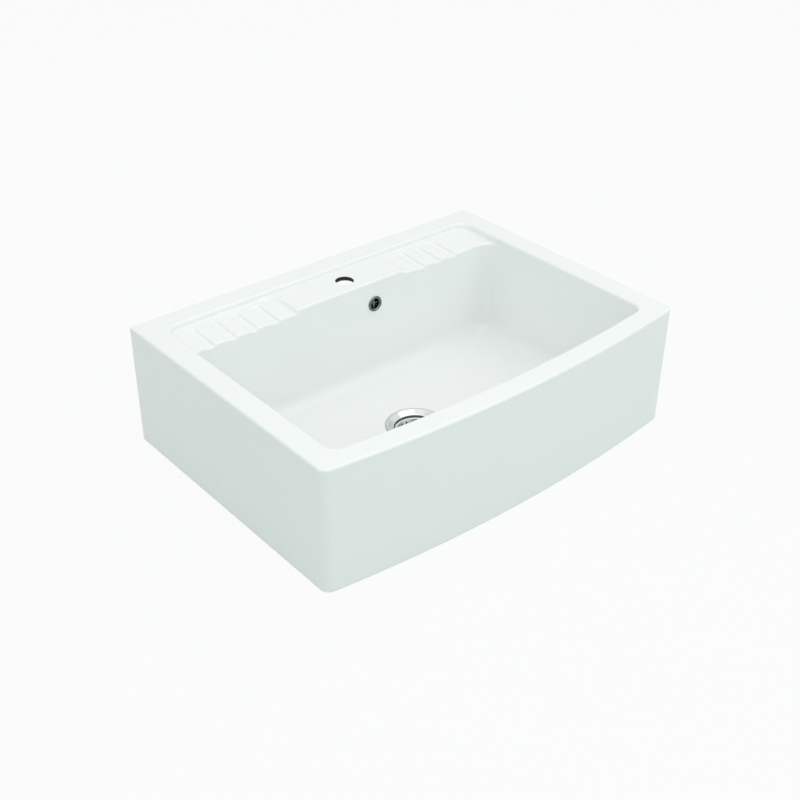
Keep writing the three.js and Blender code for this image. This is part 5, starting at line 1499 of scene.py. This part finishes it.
# ---------- overflow ----------
class SINK_OT_overflow(bpy.types.Operator):
    """Make the overflow ring with its grille and screw, and the elbow, gasket and insert behind the wall"""

    bl_idname = "sink.overflow"
    bl_label = "Overflow"

    def execute(self, context):
        s, axis = sizes(), overflow_matrix(sizes())
        self.ring(s, axis)
        self.screw(s, axis)
        self.elbow(s, axis)
        gasket = washer("wall_gasket", s.overflow_hole, s.elbow_flange, s.gasket_top - s.overflow_gasket,
                        s.gasket_top, 0.0006, finish_of("black_rubber"))
        dress(gasket, axis, "black_rubber", "overflow_gasket")
        top = s.elbow_boss_top - s.fit
        insert = washer("screw_insert", s.screw_hole, s.overflow_insert, top - s.insert_length + s.fit, top,
                        0.0003, finish_of("brass"), 48)
        dress(insert, axis, "brass", "overflow_insert")
        return {"FINISHED"}

    def ring(self, s, axis):
        """The chrome ring, its sleeve and its grille, in a tone darkened to paint in dark reflections."""
        bright = finish_of("ring_chrome")
        outer, top = s.overflow_hole - s.fit, s.ring_height
        profile = [
            ([s.ring_bore, -s.sleeve], 0.0002), ([outer, -s.sleeve], 0.0002), ([outer, s.fit], 0.0002),
            ([s.ring, s.fit], 0.0003), ([s.ring, 0.0012], 0.0012), ([s.ring - 0.0012, top - 0.0002], 0.0016),
            ([s.ring - 0.0028, top], 0.002), ([s.ring_bore + 0.0012, top - 0.0008], 0.0012),
            ([s.ring_bore, top - 0.0022], 0.0008),
        ]
        ring = turned("overflow_trim", soften(profile, 6, True), 120, True, bright)
        half, low, high = s.arm_width / 2, s.hub_top - s.grille, s.hub_top
        arm = rounded([[-half, low], [half, low], [half, high], [-half, high]], 0.0005, 3, True)
        arms = pushed("arms", arm, 0, s.hub - REACH, s.ring_bore + 0.0005, bright)
        run_tree(arms, wheel_tree(), Count=s.arms, Turn=0.0, Finish=bright)
        hub_side = rounded([[0, low], [s.hub, low], [s.hub, high], [0, high]], 0.0005, 4)
        cut(ring, [arms, turned("hub", hub_side, 64, material=bright)], "UNION")
        cut(ring, [rod("hub_hole", s.screw_hole, low - REACH, high + REACH, 48, bright)])
        dress(ring, axis, "chrome", "overflow_ring", 42)

    def screw(self, s, axis):
        """A raised-head screw with a cross recess and a thread."""
        # the screw shares the darkened chrome, a painted reflection
        chrome = finish_of("ring_chrome")
        head, foot = s.hub_top + s.fit, s.hub_top + s.fit - s.screw_length
        profile = [
            ([0, foot], 0), ([s.screw - 0.0008, foot], 0),
            *sharp(rows_between(s.screw, foot + 0.0008, head, 0.00013)),
            ([s.screw_head, head], 0.0002), ([s.screw_head, head + 0.0007], 0.0003),
            ([s.screw_head - 0.0012, head + s.head_height - 0.0002], 0.0018), ([0, head + s.head_height], 0),
        ]
        screw = turned("overflow_bolt", soften(profile, 5), 48, material=chrome)
        run_tree(screw, thread_tree(), Radius=s.screw, Depth=0.0004, Pitch=0.0008, Low=foot + 0.0008,
                 High=head - 0.004, Finish=chrome)
        long, thin, low, high = 0.0021, 0.00045, head + 0.0006, head + 0.004
        bars = ((long, thin), (thin, long))
        cut(screw, [block("recess", -x, x, -y, y, low, high, chrome) for x, y in bars])
        dress(screw, axis, "chrome", "overflow_screw", 40)

    def elbow(self, s, axis):
        """The moulded elbow with its flange, screw boss and threaded spigot."""
        grey = finish_of("grey_plastic")
        under = s.elbow_top - s.elbow_flange_thickness
        profile = [
            ([0, s.elbow_end], 0), ([s.elbow, s.elbow_end], 0.003), ([s.elbow, under], 0.0012),
            ([s.elbow_flange, under], 0.0005), ([s.elbow_flange, s.elbow_top], 0.0005), ([0, s.elbow_top], 0),
        ]
        elbow = turned("elbow_moulding", soften(profile, 6), 96, material=grey)
        collar = s.spigot + 0.0012
        pipe = turned("spigot", soften([
            ([0, 0], 0), ([collar, 0], 0), ([collar, s.elbow + 0.002], 0.0005),
            ([s.spigot, s.elbow + 0.003], 0.0005),
            *sharp(rows_between(s.spigot, s.elbow + 0.004, s.elbow_spigot - 0.0006, 0.0003)),
            ([s.spigot - 0.0006, s.elbow_spigot], 0), ([0, s.elbow_spigot], 0),
        ], 3), 72, material=grey)
        run_tree(pipe, thread_tree(), Radius=s.spigot, **SPIGOT_THREAD, Low=s.elbow + 0.0045,
                 High=s.elbow_spigot - 0.001, Finish=grey)
        down = Matrix.Translation((0, 0, s.elbow_axis)) @ Matrix.Rotation(math.pi / 2, 4, "X")
        cut(elbow, [place(pipe, down)], "UNION")
        floor, mouth = s.elbow_end + s.elbow_wall, s.elbow_top + REACH
        inside = turned("elbow_bore", soften([
            ([0, floor], 0), ([s.elbow_bore, floor], 0.002), ([s.elbow_bore, mouth], 0), ([0, mouth], 0),
        ], 5), 96, material=grey)
        bore = rod("spigot_bore", s.spigot_bore, 0, s.elbow_spigot + REACH, 72, grey)
        cut(elbow, [inside, place(bore, down)])
        pocket, boss_wall, web = s.overflow_insert + s.fit, 0.0016, 0.001
        boss = rod("screw_boss", pocket + boss_wall, s.elbow_end + REACH, s.elbow_boss_top, 48, grey)
        webs = block("screw_webs", -s.elbow_bore - REACH, s.elbow_bore + REACH, -web, web,
                     s.elbow_axis + s.spigot_bore, s.elbow_boss_top - 0.003, grey)
        cut(elbow, [boss, webs], "UNION")
        tip, shelf = s.hub_top - s.screw_length - REACH, s.elbow_boss_top - s.insert_length - s.fit
        hole = turned("screw_room", [
            [0, tip], [s.screw_hole, tip], [s.screw_hole, shelf], [pocket, shelf], [pocket, mouth],
            [0, mouth],
        ], 48, material=grey)
        cut(elbow, [hole])
        dress(elbow, axis, "grey_plastic", "overflow_elbow", 38)


def mouths(s):
    """The faces that the hose joins: the elbow's and the waste inlet's, each with +z along the hose."""
    elbow = (overflow_matrix(s) @ Matrix.Translation((0, -s.elbow_spigot, s.elbow_axis))
             @ Matrix.Rotation(math.pi / 2, 4, "X"))
    out = Vector((math.sin(s.inlet_turn), math.cos(s.inlet_turn), 0))
    turn = Vector((0, 0, 1)).rotation_difference(out).to_matrix().to_4x4()
    inlet = Matrix.Translation(Vector((0, s.waste_y, s.inlet_z)) + out * s.inlet_reach) @ turn
    return elbow, inlet


def hose_path(s):
    """The hose's middle line: straight out of each nut, with one bend between."""
    elbow, inlet = mouths(s)
    start, end = elbow @ Vector((0, 0, s.collar_start)), inlet @ Vector((0, 0, s.collar_start))
    down = (elbow.to_3x3() @ Vector((0, 0, 1))).normalized()
    out = (inlet.to_3x3() @ Vector((0, 0, 1))).normalized()
    across = math.hypot(start.x - end.x, start.y - end.y)
    bend_start = start + down * (start.z - end.z - s.hose_bend)
    bend_end = end + out * (across - s.hose_bend)
    handle = s.hose_bend * (4 / 3) * (math.sqrt(2) - 1)
    near, far = bend_start + down * handle, bend_end + out * handle
    points = [start.lerp(bend_start, t) for t in np.linspace(0, 1, 60)[:-1]]
    for t in np.linspace(0, 1, 120)[:-1]:
        u = 1 - t
        points.append(u**3 * bend_start + 3 * u * u * t * near + 3 * u * t * t * far + t**3 * bend_end)
    return points + [bend_end.lerp(end, t) for t in np.linspace(0, 1, 60)]


class SINK_OT_hose(bpy.types.Operator):
    """Make the ribbed overflow hose with its two ring nuts and seals"""

    bl_idname = "sink.hose"
    bl_label = "Overflow hose"

    def execute(self, context):
        s, white = sizes(), finish_of("white_plastic")
        points = hose_path(s)
        hose = new_object("ribbed_hose", points, [], edges=[(i, i + 1) for i in range(len(points) - 1)])
        rows, sides = 561, 49
        run_tree(hose, hose_tree(), Rows=rows, Sides=sides, Collar=s.collar,
                 Collar_Thickness=s.collar_thickness, Cuff=s.cuff, Cuff_Length=s.cuff_length, Rib=s.rib,
                 Valley=s.rib_valley, Pitch=s.rib_pitch, Bore=s.hose_bore, Finish=white)
        dress(hose, Matrix.Identity(4), "white_plastic", "overflow_hose", 60)
        for mouth, name in zip(mouths(s), ("elbow", "inlet")):
            seal = washer(name + "_washer", s.spigot_bore, s.spigot, s.fit, s.fit + s.hose_seal, 0.0003,
                          finish_of("grey_rubber"), 64)
            dress(seal, mouth, "grey_rubber", name + "_seal")
            self.nut(s, mouth, name, white)
        return {"FINISHED"}

    def nut(self, s, mouth, name, white):
        """A ring nut with finger grips and softened ends."""
        bore, lip, inner = s.spigot + s.fit, s.nut_end - s.nut_lip, s.cuff + s.fit
        profile = [
            ([bore, -s.nut_reach], 0.0003), ([s.nut, -s.nut_reach], 0.0008), ([s.nut, s.nut_end], 0.0016),
            ([inner, s.nut_end], 0.0006), ([inner, lip], 0.0003), ([bore, lip], 0.0003),
        ]
        nut = turned(name + "_ring_nut", soften(profile, 5, True), 144, True, white)
        wide, foot = 0.0032, -s.nut_reach - REACH
        grip = turned("grips", [
            [0, foot], [wide, foot], [wide, s.nut_end - 0.0035], [wide * 0.7, s.nut_end - 0.0015],
            [0, s.nut_end - 0.0008],
        ], 32, material=white)
        place(grip, Matrix.Translation((s.nut - s.nut_grip + wide, 0, 0)))
        run_tree(grip, wheel_tree(), Count=s.nut_grips, Turn=0.0, Finish=white)
        cut(nut, [grip])
        dress(nut, mouth, "white_plastic", name + "_nut", 38)


class SINK_OT_stage(bpy.types.Operator):
    """Set up the floor, the light and the camera"""

    bl_idname = "sink.stage"
    bl_label = "Stage"

    def execute(self, context):
        s, studio = sizes(), context.scene.sink_studio
        floor_stage(s, studio)
        lights(studio)
        camera(studio)
        context.scene.view_settings.view_transform = "Standard"
        return {"FINISHED"}


WHITE_SHARE = 0.92  # how much of the floor the camera sees as plain white; the rest keeps its shadow
LIT_SPOT = (0, 0, 0.1)
LAMPS = {  # where each lamp stands, and its width
    "top_lamp": ((0.3, -0.2, 2.6), 2.4),
    "front_lamp": ((0.3, -1.9, 2.3), 4.2),
    "side_lamp": ((-2.0, -0.3, 2.0), 3.2),
}


def straight(tree):
    """One where a ray comes from the camera, from gloss or through glass."""
    seen = tree.nodes.new("ShaderNodeLightPath").outputs
    direct = calc(tree, "MAXIMUM", seen["Is Camera Ray"], seen["Is Glossy Ray"])
    return calc(tree, "MAXIMUM", direct, seen["Is Transmission Ray"])


def floor_stage(s, studio):
    """A wide pale floor with a round well under the waste."""
    made, tree, at = material("floor")
    drift = between(tree, noise(tree, at, 3.0, 2.0), 0, 1)
    matt = wire(tree, "ShaderNodeBsdfDiffuse", {
        "Color": tint(tree, drift, scaled(studio.floor, 0.99), studio.floor),
    })
    white = wire(tree, "ShaderNodeEmission", {"Color": (1, 1, 1, 1), "Strength": 1.0})
    share = calc(tree, "MULTIPLY", straight(tree), WHITE_SHARE)
    show(tree, wire(tree, "ShaderNodeMixShader", {0: share, 1: matt.outputs[0], 2: white.outputs[0]}))
    reach, well, soft, deep, sides = 40.0, 0.12, 0.002, 0.1, 96
    turn = np.linspace(0, 2 * math.pi, sides, endpoint=False)
    rings = []
    for r, z in ((reach, 0.0), (well, 0.0), (well - soft, -soft), (well - soft, -deep)):
        rings.append(np.stack([r * np.cos(turn), s.waste_y + r * np.sin(turn), np.full(sides, z)], 1))
    faces = []
    for low in range(0, 3 * sides, sides):
        for i in range(sides):
            j = (i + 1) % sides
            faces.append((low + i, low + j, low + sides + j, low + sides + i))
    faces.append(tuple(range(3 * sides, 4 * sides)))
    new_object("floor", np.concatenate(rings), faces, made)


def lamp(name, spot, wide, power):
    """A large square lamp turned to the sink."""
    data = bpy.data.lights.new(name, "AREA")
    data.shape = "SQUARE"
    data.size = wide
    data.energy = power
    made = bpy.data.objects.new(name, data)
    bpy.context.scene.collection.objects.link(made)
    made.location = spot
    made.rotation_euler = (Vector(LIT_SPOT) - Vector(spot)).to_track_quat("-Z", "Y").to_euler()


def lights(studio):
    """An even pale sky, with soft lamps overhead, in front and on the left."""
    world = bpy.data.worlds.new("studio")
    bpy.context.scene.world = world
    world.use_nodes = True
    tree = world.node_tree
    tree.nodes.clear()
    ahead = parts(tree, tree.nodes.new("ShaderNodeTexCoord").outputs["Generated"])
    high = wire(tree, "ShaderNodeMapRange", {0: ahead[2], 1: 0.05, 2: 0.85}).outputs[0]
    sky = wire(tree, "ShaderNodeBackground", {
        "Color": tint(tree, high, studio.horizon, studio.zenith), "Strength": studio.sky,
    })
    white = wire(tree, "ShaderNodeBackground", {"Color": (1, 1, 1, 1), "Strength": 1.0})
    blend = wire(tree, "ShaderNodeMixShader", {0: straight(tree), 1: sky.outputs[0], 2: white.outputs[0]})
    show(tree, blend, "ShaderNodeOutputWorld")
    for name, (spot, wide) in LAMPS.items():
        lamp(name, spot, wide, getattr(studio, name))


def camera(studio):
    """The camera, at the measured place and angle."""
    data = bpy.data.cameras.new("camera")
    data.sensor_width = 36.0
    data.lens = studio.lens
    made = bpy.data.objects.new("camera", data)
    bpy.context.scene.collection.objects.link(made)
    yaw, pitch, roll = studio.yaw, studio.pitch, studio.roll
    ahead = Vector((math.sin(yaw) * math.cos(pitch), math.cos(yaw) * math.cos(pitch), -math.sin(pitch)))
    right = ahead.cross(Vector((0, 0, 1))).normalized()
    up = right.cross(ahead)
    turned_right = right * math.cos(roll) + up * math.sin(roll)
    turned_up = up * math.cos(roll) - right * math.sin(roll)
    axes = Matrix((turned_right, turned_up, -ahead)).transposed().to_4x4()
    made.matrix_world = Matrix.Translation(Vector(studio.eye)) @ axes
    bpy.context.scene.camera = made


class VIEW3D_PT_sink(bpy.types.Panel):
    """Lists the sink's operators and sizes"""

    bl_label = "Apron front sink"
    bl_space_type = "VIEW_3D"
    bl_region_type = "UI"
    bl_category = "Sink"

    def draw(self, context):
        for step in STEPS:
            self.layout.operator(step.bl_idname)
        for name in GROUPS:
            group, box = getattr(context.scene, name), self.layout.box()
            for key in group.__annotations__:
                box.prop(group, key)


STEPS = (
    SINK_OT_basin, SINK_OT_cup, SINK_OT_basket, SINK_OT_waste, SINK_OT_overflow, SINK_OT_hose, SINK_OT_stage,
)
GROUPS = {
    "sink_basin": SinkBasinSizes, "sink_waste": SinkWasteSizes, "sink_basket": SinkBasketSizes,
    "sink_overflow": SinkOverflowSizes, "sink_finishes": SinkFinishes, "sink_studio": SinkStudio,
}


def register():
    for group in GROUPS.values():
        bpy.utils.register_class(group)
    for kind in (*STEPS, VIEW3D_PT_sink):
        bpy.utils.register_class(kind)
    for name, group in GROUPS.items():
        setattr(bpy.types.Scene, name, PointerProperty(type=group))


def unregister():
    for name in GROUPS:
        delattr(bpy.types.Scene, name)
    for kind in (VIEW3D_PT_sink, *reversed(STEPS)):
        bpy.utils.unregister_class(kind)
    for group in reversed(list(GROUPS.values())):
        bpy.utils.unregister_class(group)


def main():
    register()
    for step in STEPS:
        area, name = step.bl_idname.split(".")
        getattr(getattr(bpy.ops, area), name)()


if __name__ == "__main__":
    main()
